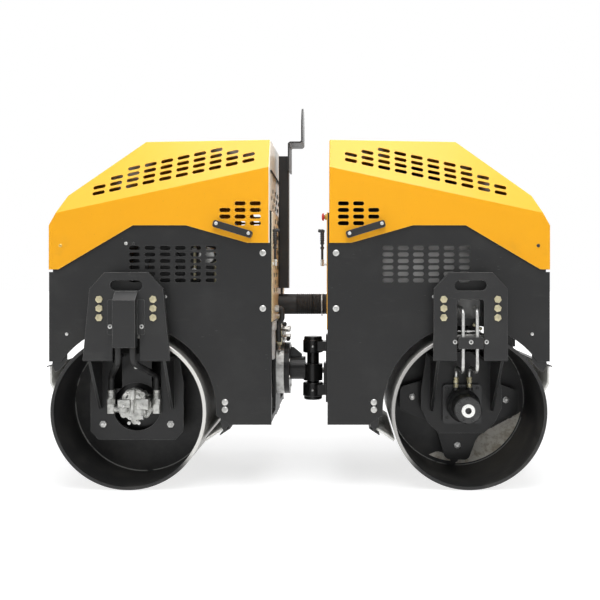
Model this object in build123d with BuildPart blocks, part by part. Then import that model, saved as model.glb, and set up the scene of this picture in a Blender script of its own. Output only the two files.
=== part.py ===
"""Compact articulated double-drum road roller, millimetres, +X towards the tank half, +Z up.

The two halves are alike: each has a frame box between slotted side panels, a sheet-metal hood,
and a smooth drum hung in two thick brackets.  The drum is driven from one side and shaken from the
other, and the engine half is the tank half turned end for end about the vertical, so everything
both halves share is modelled once, at the tank half, and written out twice.
"""
import os
from math import cos, radians, sin

from build123d import *

os.makedirs("parts", exist_ok=True)

# ---------------------------------------------------------------- driving dimensions
half_wheelbase = 613        # machine centre to a drum's axle
drum_radius = 280           # over the smooth rolling surface
drum_width = 700
drum_wall = 12
outer_x = half_wheelbase + 298      # outer end of the frame and hood
inner_x = 102               # inner end of the frame, facing the joint
body_half_width = 310       # over the side panels
panel_wall = 5
plate = 8                   # frame plates
seat_gap = 0.3              # gap between seated pieces of two bodies
running_gap = 0.05          # radial gap of a shaft in its bore
moving_gap = 5              # least gap between pieces that move past each other

# frame box and side panels
deck_z = 600                # floor plate over the drum
throat_x = half_wheelbase - 355     # frame wall facing the drum, on the joint's side
bulkhead = 10
arch_radius = 310           # wheel arch, round the drum's axle
panel_bottom = 228
panel_chamfer_x = throat_x - 5      # where the panel's underside starts to rise
panel_chamfer_run = 67
panel_chamfer_slope = 0.68
tab_bottom = 458            # underside of the panel outside the drum
panel_top_outer = 784
panel_top_inner = 884
cover_wall = 3
cover_bottom = 573
cover_top = 1003            # top of the fixed inner cover, below the hood's inner wall
panel_overlap = 16          # how far the panel runs up behind the hood
vent_length = 40            # slots of the side panels and the hood's sides
vent_height = 15
vent_columns = 6
vent_rows = 6
vent_pitch_x = 55.6
vent_pitch_z = 23.6
vent_first_x = half_wheelbase - 291
vent_first_z = 753.5

# hood
hood_wall = 3
hood_bend = 5               # outer radius of the folds
hood_half_width = body_half_width + 8
hood_inner_x = inner_x + 6
hood_top = 1273
hood_edge_outer = 792       # lower edge at the outer end
hood_edge_inner = 890       # lower edge at the inner end
hood_edge_middle = 953.5
hood_end_top = 954          # where the upright end wall turns into the end bevel
hood_roof_start = (outer_x - 61, 1063)
hood_roof_end_x = half_wheelbase - 32
seam_inner_z = 1166         # seam of the side bevel at the inner end
seam_outer = (outer_x - 21, 997)
bevel_inset = 55            # how far the side bevel leans in over its rise
bevel_rise = 107
louvre_length = 46
louvre_height = 15.5
louvre_counts = (2, 3, 4, 4, 4, 4, 4, 4, 3, 2)   # slots in each column, from the inner end
louvre_first_x = inner_x + 85.5
louvre_pitch_x = (outer_x - inner_x) * 0.0752
louvre_first_rise = 43      # lowest row above the seam
louvre_pitch_z = 23
side_vents = ((58, 4), (113, 4), (168, 2))      # distance from the frame's inner end, slots in the column
side_vent_z = 997           # middle of that group
side_vent_pitch = 24
handle_centre = (inner_x + 138.3, 939)
handle_pitch = 120
handle_slope = 17           # degrees
handle_stand = 26
hinge_x = outer_x - 5
hinge_z = 795
hinge_radius = 6
hinge_pin = 3
hinge_y = body_half_width - 110
hinge_length = 80

# drum brackets, placed from the drum's ends
bracket_y = drum_width / 2 + 12     # inner face of the outer plate
bracket_plate = 15
bracket_slot = 96
bracket_slot_top = 686
bracket_top = bracket_slot_top + 97
bracket_top_half = 78
bracket_shoulder = (131, bracket_top - 58)
bracket_foot = 465
bracket_eye = (114, 36, bracket_slot_top + 50)      # lifting eye: length, height, middle
shelf = 12
drive_foot_half = 133
shaken_foot_half = 156
drive_plate_y = bracket_y - 221     # outer face of the driven side's inner plate
shaken_plate_y = bracket_y - 142    # outer face of the shaken side's inner plate
inner_plate = 12
gusset = 10
gusset_toe = 20
mount_half = 126            # box that carries the bracket on the panel
mount_box_z = (592, 712)
mount_window = 52
line_window_z = 650         # opening in the panel for pipes and hoses

# drum inside
web = 12
spider_y = 83 - drive_plate_y       # inner face of the driving spider
spider_plate = 12
drive_web_y = spider_y + 48         # outer face of the web on the driven side
shaken_web_y = shaken_plate_y - 115     # outer face of the web on the shaken side
hub_radius = 70
hub_wall = 20
hub_proud = 15
lobe_radius = 184           # circle of the driven side's rubber buffers
lobe_turn = -2              # degrees
lobe_reach = 232
lobe_root = 121             # half width of a lobe's sides, carried on to the axle
lobe_tip = 45               # half width at its end
buffer_radius = 28
spider_hub = (45, 50)       # radius, length
shaft_radius = 20
mount_circle = 146          # circle of the shaken side's rubber buffers
mount_buffer = 26

# lines
pipe_radius = 6.5
pipe_pitch = 51
pipe_bend = 28
pipe_y = bracket_y + 3
hose_radius = 11
hose_pitch = 46
hose_bend = 34
hose_y = bracket_y + 29
port_z = 345                # top of the motors' ports
motor_radius = 50
motor_flange = 149
motor_nose_y = bracket_y - 44
shaker_radius = 48          # body of the vibration motor
shaker_ports = (92, -77)    # its two elbows, along the machine from the axle

# what stands in the two boxes
tank_x = half_wheelbase - 118
tank_length = 410
tank_height = 292
tank_wall = 6
filler = (tank_x + 105, 45)         # place, radius
engine_x = half_wheelbase - 133
engine_length = 380
filter_place = (-inner_x - 40, 110 - body_half_width)
filter_radius = (throat_x - inner_x) * 0.29
filter_bottom = 455

# joint between the halves
pivot_x = 38                # steering axis
swing_z = 401               # oscillation axis
knuckle_radius = 38
pin_radius = 24
housing_radius = 40
housing_cap = (36, 13)       # radius, height
upper_housing = (463, 527)
lower_housing = (276, 343)
knuckle_boss = (352, 418)
flange_radius = 102
flange_x = (-73, -52)
spindle_radius = 45
hub_outer = 46
lever_radius = 80
lever_turn = 12             # degrees from square
cylinder_z = 382
cylinder_base = (throat_x - 33, 76)
barrel_radius = 27
rod_radius = 12
eye_radius = 27
eye_bore = 15
eye_shift = 4               # the eye's centre sits this far inboard of the pin, straight ahead
eye_height = 26
lever_pin = 9
sleeve_z = 656
sleeve_radius = 41

# mast on the engine half, with its cranked flat bar
bar_top = 1437
bar_step = bar_top - 145    # centre line of the bar's level step
bar_foot = bar_step - 105
bar_wall = 6
bar_width = 160
bar_bend = 9
mast_foot_x = -58           # face of the post that carries the bar
mast_width = 39.5
mast_z = (720, bar_foot + 57)

halves = (("tank", 0), ("engine", 180))
axle = Axis((half_wheelbase, 0, drum_radius), (0, 1, 0))
axle_plane = Plane(origin=(half_wheelbase, 0, drum_radius), x_dir=(0, 1, 0), z_dir=(1, 0, 0))


def near_plane(depth):
    """The side view's plane at Y = -depth, with its origin on the drum's axle line."""
    return Plane(origin=(half_wheelbase, -depth, 0), x_dir=(1, 0, 0), z_dir=(0, -1, 0))


def far_plane(depth):
    """The same plane at Y = +depth; a positive extrusion still goes towards -Y."""
    return Plane(origin=(half_wheelbase, depth, 0), x_dir=(1, 0, 0), z_dir=(0, -1, 0))


def write(part, name):
    part.label = name
    export_step(part, f"parts/{name}.step")


def write_both(part, name):
    """Writes a piece of the tank half, and its twin turned end for end for the engine half."""
    for half, turn in halves:
        write(part.rotate(Axis.Z, turn), f"{half}_{name}")


# ---------------------------------------------------------------- frame box
with BuildPart() as chassis:
    with BuildSketch(Plane.XZ) as section:
        # x from, z from, x to, z to
        for x0, z0, x1, z1 in (
            (inner_x, panel_bottom + plate, inner_x + bulkhead, cover_top - 3),
            (inner_x, panel_bottom, throat_x, panel_bottom + plate),
            (throat_x - plate, panel_bottom, throat_x, deck_z + plate),
            (inner_x, deck_z, outer_x - 3, deck_z + plate),
            (outer_x - 3 - plate, 520, outer_x - 3, panel_top_outer),
        ):
            with Locations(((x0 + x1) / 2, (z0 + z1) / 2)):
                Rectangle(x1 - x0, z1 - z0)
    extrude(amount=body_half_width - panel_wall, both=True)
    # the bulkhead is open at both sides of the joint, and the bottom plate is set back there
    window = (116, body_half_width - 30)
    window_foot = panel_bottom + 26
    with BuildSketch(Plane.YZ.offset(inner_x)):
        for side in (-1, 1):
            with Locations((side * (window[0] + window[1]) / 2, (window_foot + deck_z) / 2)):
                RectangleRounded(window[1] - window[0], deck_z - window_foot, 16)
    extrude(amount=bulkhead, mode=Mode.SUBTRACT)
    with BuildSketch(Plane.XY.offset(panel_bottom)):
        with Locations((inner_x + 11, 0)):
            Rectangle(24, 2 * body_half_width)
            Rectangle(26, 180, mode=Mode.SUBTRACT)
    extrude(amount=plate, mode=Mode.SUBTRACT)
    # hinge lugs and pins for the hood
    lug_y = hinge_length / 2 + seat_gap + plate / 2
    for side in (-1, 1):
        for end in (-1, 1):
            with BuildSketch(Plane.XZ.offset(side * hinge_y + end * lug_y - plate / 2)):
                with Locations((hinge_x, hinge_z)):
                    Circle(hinge_radius)
                with Locations((hinge_x - 2, hinge_z - 9)):
                    Rectangle(8, 18)
            extrude(amount=plate)
        with BuildSketch(Plane.XZ.offset(side * hinge_y)):
            with Locations((hinge_x, hinge_z)):
                Circle(hinge_pin)
        extrude(amount=lug_y, both=True)

with BuildPart() as tank_chassis:
    add(chassis.part)
    # window for the steering cylinder
    with BuildSketch(Plane.YZ.offset(inner_x)):
        with Locations((75, cylinder_z)):
            RectangleRounded(104, 88, 12)
    extrude(amount=bulkhead, mode=Mode.SUBTRACT)
    # base pillar of the steering cylinder, off the bottom plate
    with BuildSketch(Plane.XY.offset(panel_bottom + plate)):
        with Locations(cylinder_base):
            Circle(15)
    extrude(amount=cylinder_z - eye_height / 2 - seat_gap - panel_bottom - plate)
    with BuildSketch(Plane.XY.offset(panel_bottom + plate)):
        with Locations(cylinder_base):
            Circle(lever_pin)
    extrude(amount=cylinder_z + eye_height / 2 + 8 - panel_bottom - plate)

# ---------------------------------------------------------------- side panel with its wheel arch
chamfer_end = panel_bottom + panel_chamfer_slope * panel_chamfer_run
with BuildPart() as near_panel:
    with BuildSketch(Plane.XZ.offset(body_half_width)) as near_panel_outline:
        with BuildLine():
            Polyline(
                (inner_x, panel_bottom),
                (panel_chamfer_x, panel_bottom),
                (panel_chamfer_x + panel_chamfer_run, chamfer_end),
                (half_wheelbase, drum_radius + 20),
                (half_wheelbase, tab_bottom),
                (outer_x, tab_bottom),
                (outer_x, panel_top_outer),
                (outer_x - 14, panel_top_outer),
                (outer_x - 14, hood_edge_outer + panel_overlap),
                (outer_x - 43, hood_edge_outer + panel_overlap + 2),
                (half_wheelbase - 11, hood_edge_middle + panel_overlap),
                (half_wheelbase - 197, hood_edge_middle + panel_overlap),
                (inner_x + 86, hood_edge_inner + panel_overlap),
                (inner_x + bulkhead, hood_edge_inner + panel_overlap),
                (inner_x + bulkhead, panel_top_inner),
                (inner_x, panel_top_inner),
                close=True,
            )
        make_face()
        foot = near_panel_outline.vertices().sort_by(Axis.Z)[0:2]
        fillet(foot, 10)
        with Locations((half_wheelbase, drum_radius)):
            Circle(arch_radius, mode=Mode.SUBTRACT)
        with Locations((half_wheelbase, line_window_z)):
            RectangleRounded(90, 70, 12, mode=Mode.SUBTRACT)
        vent_mid = (
            vent_first_x + vent_pitch_x * (vent_columns - 1) / 2,
            vent_first_z + vent_pitch_z * (vent_rows - 1) / 2,
        )
        with Locations(vent_mid):
            with GridLocations(vent_pitch_x, vent_pitch_z, vent_columns, vent_rows):
                SlotOverall(vent_length, vent_height, mode=Mode.SUBTRACT)
    extrude(amount=-panel_wall)
    # box that carries the drum bracket
    with BuildSketch(near_plane(body_half_width)):
        low, high = mount_box_z
        with Locations((0, (low + high) / 2)):
            Rectangle(2 * mount_half, high - low)
        with Locations((0, (low + bracket_slot_top) / 2)):
            Rectangle(2 * mount_window, bracket_slot_top - low, mode=Mode.SUBTRACT)
    extrude(amount=bracket_y - body_half_width)

with BuildPart() as side_panels:
    add(near_panel.part)
    mirror(about=Plane.XZ)

# ---------------------------------------------------------------- inner end covers
with BuildPart() as tank_cover:
    with BuildSketch(Plane.YZ.offset(inner_x - cover_wall)):
        with Locations((0, (cover_bottom + cover_top) / 2)):
            RectangleRounded(2 * (body_half_width - panel_wall - 1), cover_top - cover_bottom, 8)
    extrude(amount=cover_wall)

# ---------------------------------------------------------------- drum
with BuildPart() as drum_shell:
    with BuildSketch(axle_plane):
        with Locations((0, drum_radius - drum_wall / 2)):
            Rectangle(drum_width, drum_wall)
        inside = drum_radius - drum_wall
        with Locations((drive_web_y + web / 2, (inside + 1) / 2)):
            Rectangle(web, inside + 1)
        bore = hub_radius + running_gap
        with Locations((shaken_web_y - web / 2, (inside + 1 + bore) / 2)):
            Rectangle(web, inside + 1 - bore)
        tube = (drive_web_y, shaken_web_y + hub_proud)
        with Locations(((tube[0] + tube[1]) / 2, bore + hub_wall / 2)):
            Rectangle(tube[1] - tube[0], hub_wall)
    revolve(axis=axle)
    rims = drum_shell.edges().filter_by(GeomType.CIRCLE).filter_by(lambda e: e.radius > drum_radius - 1)
    chamfer(rims, 2)

# ---------------------------------------------------------------- driving spider and its rubber buffers
spider_outer = spider_y - spider_plate


def drive_side(depth):
    """The side view's plane at Y = depth, with its origin on the axle, facing the driven side."""
    return Plane(origin=(half_wheelbase, depth, drum_radius), x_dir=(1, 0, 0), z_dir=(0, -1, 0))


with BuildPart() as drum_spider:
    with BuildSketch(drive_side(spider_y)) as spider_outline:
        for turn in range(0, 360, 90):
            with Locations(Location((0, 0), lobe_turn + turn)):
                Polygon((0, lobe_root), (0, -lobe_root), (lobe_reach, -lobe_tip), (lobe_reach, lobe_tip), align=None)
        tips = spider_outline.vertices().filter_by(lambda v: Vector(v.center()).length > lobe_reach)
        fillet(tips, 24)
    extrude(amount=spider_plate)
    with BuildSketch(drive_side(spider_outer)):
        Circle(spider_hub[0])
    extrude(amount=spider_hub[1])
    with BuildSketch(drive_side(spider_outer - spider_hub[1])):
        Circle(shaft_radius)
    extrude(amount=55)

with BuildPart() as drum_buffers:
    with BuildSketch(drive_side(drive_web_y)):
        with PolarLocations(lobe_radius, 4, start_angle=lobe_turn):
            Circle(buffer_radius)
    extrude(amount=drive_web_y - spider_y)

# ---------------------------------------------------------------- shaken side: fixed hub on rubber buffers
mount_face = shaken_plate_y - inner_plate - 40
with BuildPart() as vibration_mount:
    with BuildSketch(far_plane(mount_face)):
        with Locations((0, drum_radius)):
            Circle(100)
            with PolarLocations(mount_circle / 2, 3, start_angle=90):
                Rectangle(mount_circle, 76)
            with PolarLocations(mount_circle, 3, start_angle=90):
                Circle(38)
    extrude(amount=web)
    with BuildSketch(far_plane(mount_face - web)):
        with Locations((0, drum_radius)):
            Circle(hub_radius)
    extrude(amount=mount_face - web - (drive_web_y + web + shaken_web_y) / 2 - 6)
    with BuildSketch(far_plane(shaken_plate_y - inner_plate)):
        with Locations((0, drum_radius)):
            with PolarLocations(mount_circle, 3, start_angle=90):
                Circle(mount_buffer)
    extrude(amount=40)

# ---------------------------------------------------------------- vibration motor, a small gear motor
with BuildPart() as vibration_motor:
    with BuildSketch(far_plane(mount_face + 14)):
        with Locations((0, drum_radius)):
            SlotOverall(132, 84)
    extrude(amount=14)
    # depth of the front face, thickness, body radius, radius of the six bolt bosses
    for depth, thick, body, boss in ((84, 70, shaker_radius, 13), (104, 20, shaker_radius - 6, 10)):
        with BuildSketch(far_plane(mount_face + depth)):
            with Locations((0, drum_radius)):
                Circle(body)
                with PolarLocations(body, 6, start_angle=30):
                    Circle(boss)
        extrude(amount=thick)
    with BuildSketch(far_plane(mount_face + 80)):
        with Locations((0, drum_radius)):
            RectangleRounded(118, 50, 6)
    extrude(amount=28)
    port_y = mount_face + 66
    for x in shaker_ports:
        side = 1 if x > 0 else -1
        reach = abs(x)
        with BuildSketch(Plane(origin=(half_wheelbase, port_y, drum_radius - 8), z_dir=(side, 0, 0))):
            Circle(13)
        extrude(amount=reach)
        with BuildSketch(Plane.XY.offset(258)):
            with Locations((half_wheelbase + x, port_y)):
                RectangleRounded(28, 28, 5)
        extrude(amount=34)
        with BuildSketch(Plane.XY.offset(292)):
            with Locations((half_wheelbase + x, port_y)):
                RegularPolygon(15, 6)
        extrude(amount=22)
        with BuildSketch(Plane.XY.offset(314)):
            with Locations((half_wheelbase + x, port_y)):
                Circle(13)
        extrude(amount=port_z - 314)

# ---------------------------------------------------------------- travel motor on the driven side
nose_profile = (
    (-drive_plate_y - 20, 0),
    (-drive_plate_y - 20, 62),
    (-drive_plate_y - 74, 62),
    (-drive_plate_y - 81, motor_radius + 6),
    (-drive_plate_y - 87, motor_radius),
    (-motor_nose_y + 4, motor_radius),
    (-motor_nose_y, motor_radius - 4),
    (-motor_nose_y, 24),
    (-motor_nose_y - 5, 24),
    (-motor_nose_y - 5, 9),
    (-motor_nose_y + 4, 9),
    (-motor_nose_y + 4, 0),
)
with BuildPart() as drive_motor:
    with BuildSketch(axle_plane):
        with BuildLine():
            Polyline(*nose_profile, close=True)
        make_face()
    revolve(axis=axle)
    with BuildSketch(near_plane(drive_plate_y)):
        with Locations((0, drum_radius)):
            RectangleRounded(motor_flange, motor_flange, 14)
    extrude(amount=20)
    with BuildSketch(near_plane(drive_plate_y)):
        with Locations((0, drum_radius)):
            Circle(shaft_radius + running_gap)
    extrude(amount=45, mode=Mode.SUBTRACT)
    with BuildSketch(Plane.XY.offset(drum_radius)):
        with Locations((half_wheelbase, -drive_plate_y - 34)):
            with GridLocations(pipe_pitch, 1, 2, 1):
                Circle(12)
    extrude(amount=port_z - drum_radius)
    with BuildSketch(near_plane(drive_plate_y)):
        with Locations((0, drum_radius)):
            Circle(shaft_radius + running_gap)
    extrude(amount=45, mode=Mode.SUBTRACT)


# ---------------------------------------------------------------- drum brackets
def drum_bracket(foot_half, face_y, inner_outline, opening, gusset_x, gusset_low):
    """One bracket at -Y: outer plate, shelves, gussets and the plate inside the drum's recess."""
    top, shoulder_z = bracket_top, bracket_shoulder[1]
    shoulder = bracket_shoulder[0]
    with BuildPart() as bracket:
        with BuildSketch(near_plane(bracket_y)):
            with BuildLine():
                Polyline(
                    (-foot_half, bracket_foot),
                    (-shoulder, shoulder_z),
                    (-bracket_top_half, top),
                    (bracket_top_half, top),
                    (shoulder, shoulder_z),
                    (foot_half, bracket_foot),
                    close=True,
                )
            make_face()
            with Locations((0, bracket_eye[2])):
                SlotOverall(bracket_eye[0], bracket_eye[1], mode=Mode.SUBTRACT)
            with Locations((0, (bracket_foot - 40 + bracket_slot_top) / 2)):
                RectangleRounded(bracket_slot, bracket_slot_top - bracket_foot + 40, 14, mode=Mode.SUBTRACT)
        extrude(amount=bracket_plate)
        run = bracket_y + bracket_plate - face_y + inner_plate
        leg = foot_half - bracket_slot / 2
        with BuildSketch(Plane.XY.offset(bracket_foot)):
            for side in (-1, 1):
                middle = half_wheelbase + side * (bracket_slot / 2 + leg / 2)
                with Locations((middle, -(bracket_y + bracket_plate) + run / 2)):
                    Rectangle(leg, run)
        extrude(amount=shelf)
        for side in (-1, 1):
            with BuildSketch(Plane.YZ.offset(half_wheelbase + side * gusset_x - gusset / 2)):
                with BuildLine():
                    Polyline(
                        (-bracket_y - 6, bracket_foot + 2),
                        (-face_y + 4, bracket_foot + 2),
                        (-face_y + 4, gusset_low),
                        (-face_y - gusset_toe, gusset_low),
                        close=True,
                    )
                make_face()
            extrude(amount=gusset)
        with BuildSketch(near_plane(face_y - inner_plate)):
            with BuildLine():
                Polyline(*inner_outline, close=True)
            make_face()
            with Locations((0, drum_radius)):
                Circle(opening, mode=Mode.SUBTRACT)
        extrude(amount=inner_plate)
        bends = bracket.edges().filter_by(Axis.X).group_by(Axis.Y)[0].group_by(Axis.Z)[0]
        fillet(bends, 9)
        rim = bracket.faces().sort_by(Axis.Y)[0].edges()
        chamfer(rim, 1.2)
    return bracket.part


foot_top = bracket_foot + shelf
drive_outline = (
    (-drive_foot_half, foot_top),
    (-155, 330),
    (-155, 262),
    (-128, 205),
    (-86, 165),
    (86, 165),
    (128, 205),
    (155, 262),
    (155, 330),
    (drive_foot_half, foot_top),
)
shaken_outline = (
    (-shaken_foot_half, foot_top),
    (-174, 370),
    (-174, 188),
    (-144, 156),
    (144, 156),
    (174, 188),
    (174, 370),
    (shaken_foot_half, foot_top),
)
with BuildPart() as drum_brackets:
    add(drum_bracket(drive_foot_half, drive_plate_y, drive_outline, 52, 115, 253))
    add(drum_bracket(shaken_foot_half, shaken_plate_y, shaken_outline, 90, 134, 275).mirror(Plane.XZ))
    # the opening runs up both sides of the top buffer's tongue
    with BuildSketch(far_plane(shaken_plate_y)):
        with Locations((-72.5, 405), (72.5, 405)):
            RectangleRounded(35, 116, 8)
    extrude(amount=inner_plate, mode=Mode.SUBTRACT)

# ---------------------------------------------------------------- hose guard and pipe clamp
guard_back = bracket_y + bracket_plate
guard_foot = bracket_slot_top - 169
with BuildPart() as line_guards:
    # hat-shaped guard over the hoses, on the shaken side
    with BuildSketch(far_plane(guard_back + 3)):
        with Locations((0, bracket_slot_top - 63)):
            RectangleRounded(134, 126, 8)
    extrude(amount=3)
    with BuildSketch(Plane.YZ.offset(half_wheelbase)):
        with BuildLine():
            Polyline(
                (guard_back, guard_foot),
                (guard_back + 36, guard_foot),
                (guard_back + 36, bracket_slot_top - 2),
                (guard_back, bracket_slot_top + 29),
                close=True,
            )
        make_face()
    extrude(amount=40, both=True)
    with BuildSketch(Plane.YZ.offset(half_wheelbase)):
        with BuildLine():
            Polyline(
                (guard_back - 1, guard_foot - 7),
                (guard_back + 33, guard_foot - 7),
                (guard_back + 33, bracket_slot_top - 3.5),
                (guard_back - 1, bracket_slot_top + 26),
                close=True,
            )
        make_face()
    extrude(amount=37, both=True, mode=Mode.SUBTRACT)
    # clamp block across the slot, on the driven side, with the strap behind the bracket's legs
    clamp_z = bracket_slot_top - 155
    with BuildSketch(near_plane(bracket_y - 10)):
        with Locations((0, clamp_z)):
            Rectangle(136, 31)
    extrude(amount=10)
    with BuildSketch(near_plane(bracket_y - 10)):
        with Locations((0, clamp_z)):
            RectangleRounded(89, 41, 4)
    extrude(amount=33)
    with BuildSketch(Plane.XY.offset(clamp_z - 30)):
        with Locations((half_wheelbase, -pipe_y)):
            with GridLocations(pipe_pitch, 1, 2, 1):
                Circle(pipe_radius + seat_gap)
    extrude(amount=60, mode=Mode.SUBTRACT)

# ---------------------------------------------------------------- pipes and hoses
pipe_port_y = drive_plate_y + 34
pipe_start_y = body_half_width - 25
with BuildPart() as drive_pipes:
    for side in (-1, 1):
        x = half_wheelbase + side * pipe_pitch / 2
        with BuildLine():
            FilletPolyline(
                (x, -pipe_start_y, line_window_z + 4),
                (x, -pipe_y, line_window_z + 4),
                (x, -pipe_y, port_z + 79),
                (x, -pipe_port_y, port_z + 79),
                (x, -pipe_port_y, port_z),
                radius=pipe_bend,
            )
        with BuildSketch(Plane(origin=(x, -pipe_start_y, line_window_z + 4), z_dir=(0, -1, 0))):
            Circle(pipe_radius)
        sweep()

hose_start_y = body_half_width - 40
with BuildPart() as vibration_hoses:
    for side, port in zip((1, -1), shaker_ports):
        x = half_wheelbase + side * hose_pitch / 2
        with BuildLine():
            FilletPolyline(
                (x, hose_start_y, line_window_z - 6),
                (x, hose_y, line_window_z - 6),
                (x + side * 3, hose_y - 4, port_z + 117),
                (half_wheelbase + port, port_y, port_z + 53),
                (half_wheelbase + port, port_y, port_z),
                radius=hose_bend,
            )
        with BuildSketch(Plane(origin=(x, hose_start_y, line_window_z - 6), z_dir=(0, 1, 0))):
            Circle(hose_radius)
        sweep()

# ---------------------------------------------------------------- scrapers
scraper_half = body_half_width - 13
lug_centre_y = body_half_width - panel_wall - plate / 2
inner_scraper = Plane(origin=(half_wheelbase - 347, 0, 221), x_dir=(0.835, 0, -0.55), z_dir=(0, -1, 0))
with BuildPart() as scraper_holders:
    # outer: a thin sloping top plate between two lugs
    with BuildSketch(Plane.XZ):
        with Locations((outer_x, 0)):
            Polygon((-31, 452.5), (13, 440.5), (12, 436.5), (-32, 448.5), align=None)
    extrude(amount=scraper_half, both=True)
    # inner: a folded channel on two arms
    with BuildSketch(inner_scraper):
        # along from, along to, across from, across to
        for s0, s1, t0, t1 in ((-5, -1.5, -14.5, 7.5), (-5, 39, -14.5, -11), (-5, 22, 4, 7.5)):
            with Locations(((s0 + s1) / 2, (t0 + t1) / 2)):
                Rectangle(s1 - s0, t1 - t0)
    extrude(amount=scraper_half, both=True)
    outer_lug = ((-63, 500), (-19, 500), (-9, 446), (-21, 420), (-35, 424), (-63, 455))
    inner_arm = ((1, 318), (30, 318), (30, 240), (24, 214), (14, 202), (1, 226))
    for side in (-1, 1):
        with BuildSketch(Plane.XZ.offset(side * lug_centre_y - plate / 2)):
            with Locations((outer_x, 0)):
                Polygon(*outer_lug, align=None)
            with Locations((throat_x, 0)):
                Polygon(*inner_arm, align=None)
        extrude(amount=plate)

with BuildPart() as scraper_blades:
    # the outer blade hangs upright and is turned in towards the drum at its foot
    with BuildSketch(Plane.XZ):
        with Locations((outer_x, 0)):
            Polygon((-4, 440.8), (3, 438.9), (3, 376), (-13, 348), (-19, 352), (-4, 379), align=None)
    extrude(amount=scraper_half - 4, both=True)
    with BuildSketch(inner_scraper):
        with Locations(((96 - 1.5) / 2, 0)):
            Rectangle(96 + 1.5, 8)
    extrude(amount=scraper_half - 4, both=True)

# ---------------------------------------------------------------- hood
seam_slope = (seam_inner_z - seam_outer[1]) / (seam_outer[0] - hood_inner_x)
bevel_plane = Plane(
    origin=(hood_inner_x, -hood_half_width, seam_inner_z),
    x_dir=(1, 0, -seam_slope),
    z_dir=Vector(1, 0, -seam_slope).cross(Vector(0, bevel_inset, bevel_rise)),
)


def on_bevel(x, rise):
    """The point of the near side bevel at x, that far above the seam, in the bevel's own plane."""
    seam_z = seam_inner_z - seam_slope * (x - hood_inner_x)
    point = Vector(x, -hood_half_width + rise * bevel_inset / bevel_rise, seam_z + rise)
    local = bevel_plane.to_local_coords(point)
    return (local.X, local.Y)


hood_skirt = hood_edge_outer - 29
with BuildPart() as plain_hood:
    with BuildSketch(Plane.XZ):
        with BuildLine():
            Polyline(
                (hood_inner_x, hood_skirt),
                (outer_x, hood_skirt),
                (outer_x, hood_end_top),
                hood_roof_start,
                (hood_roof_end_x, hood_top),
                (hood_inner_x, hood_top),
                close=True,
            )
        make_face()
    extrude(amount=hood_half_width, both=True)
    split(bisect_by=bevel_plane, keep=Keep.BOTTOM)
    split(bisect_by=Plane.XZ, keep=Keep.TOP)
    mirror(about=Plane.XZ)
    bends = plain_hood.edges().filter_by(lambda e: e.center().Z > hood_skirt + 1)
    fillet(bends, hood_bend)
    offset(amount=-hood_wall, openings=plain_hood.faces().sort_by(Axis.Z)[0])
    # lower edge, cut to the side view's outline
    with BuildSketch(Plane.XZ):
        with BuildLine():
            Polyline(
                (inner_x - 12, hood_skirt - 60),
                (inner_x - 12, hood_edge_inner),
                (inner_x + 87, hood_edge_inner),
                (half_wheelbase - 200.5, hood_edge_middle),
                (half_wheelbase - 8.5, hood_edge_middle),
                (outer_x - 37, hood_edge_outer + 2),
                (outer_x + 19, hood_edge_outer),
                (outer_x + 19, hood_skirt - 60),
                close=True,
            )
        make_face()
    extrude(amount=hood_half_width + 10, both=True, mode=Mode.SUBTRACT)
    # the inner wall ends over the fixed cover
    with BuildSketch(Plane.YZ.offset(hood_inner_x - 5)):
        with Locations((0, (hood_skirt + cover_top + 7) / 2)):
            Rectangle(2 * hood_half_width - 10, cover_top + 7 - hood_skirt)
    extrude(amount=5 + hood_wall + 0.5, mode=Mode.SUBTRACT)
    # louvres of the bevel and the small group beside the inner end
    with BuildSketch(bevel_plane):
        for column, count in enumerate(louvre_counts):
            x = louvre_first_x + louvre_pitch_x * column
            for row in range(count):
                with Locations(on_bevel(x, louvre_first_rise + louvre_pitch_z * row)):
                    SlotOverall(louvre_length, louvre_height)
    extrude(amount=-12, mode=Mode.SUBTRACT)
    with BuildSketch(Plane.XZ.offset(hood_half_width)):
        for distance, count in side_vents:
            for row in range(count):
                with Locations((inner_x + distance, side_vent_z + side_vent_pitch * (row - (count - 1) / 2))):
                    SlotOverall(vent_length, vent_height)
    extrude(amount=-12, mode=Mode.SUBTRACT)
    split(bisect_by=Plane.XZ, keep=Keep.TOP)
    mirror(about=Plane.XZ)
    # hinge barrels along the outer lower edge
    for side in (-1, 1):
        lug_room = hinge_length / 2 + seat_gap + plate + 2
        with BuildSketch(Plane.XZ.offset(side * hinge_y)):
            with Locations((hinge_x, hinge_z)):
                Circle(hinge_radius + 2)
        extrude(amount=lug_room, both=True, mode=Mode.SUBTRACT)
        with BuildSketch(Plane.XZ.offset(side * hinge_y)):
            with Locations((hinge_x, hinge_z)):
                Circle(hinge_radius)
            with Locations((hinge_x + 3.5, hinge_z + 6)):
                Rectangle(3, 12)
            with Locations((hinge_x, hinge_z)):
                Circle(hinge_pin + running_gap, mode=Mode.SUBTRACT)
        extrude(amount=hinge_length / 2, both=True)

with BuildPart() as engine_hood:
    add(plain_hood.part.rotate(Axis.Z, 180))
    # breathing slots of the engine half's inner end wall: y, z of each slot, staggered
    with BuildSketch(Plane.YZ.offset(-hood_inner_x - 1)):
        for row in range(3):
            shift = 0 if row % 2 else 52
            for column in range(-2, 3):
                y = column * 104 + shift
                if abs(y) < 230:
                    with Locations((y, 1032 + 29 * row)):
                        SlotOverall(70, 18)
    extrude(amount=-8, both=True, mode=Mode.SUBTRACT)

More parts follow.
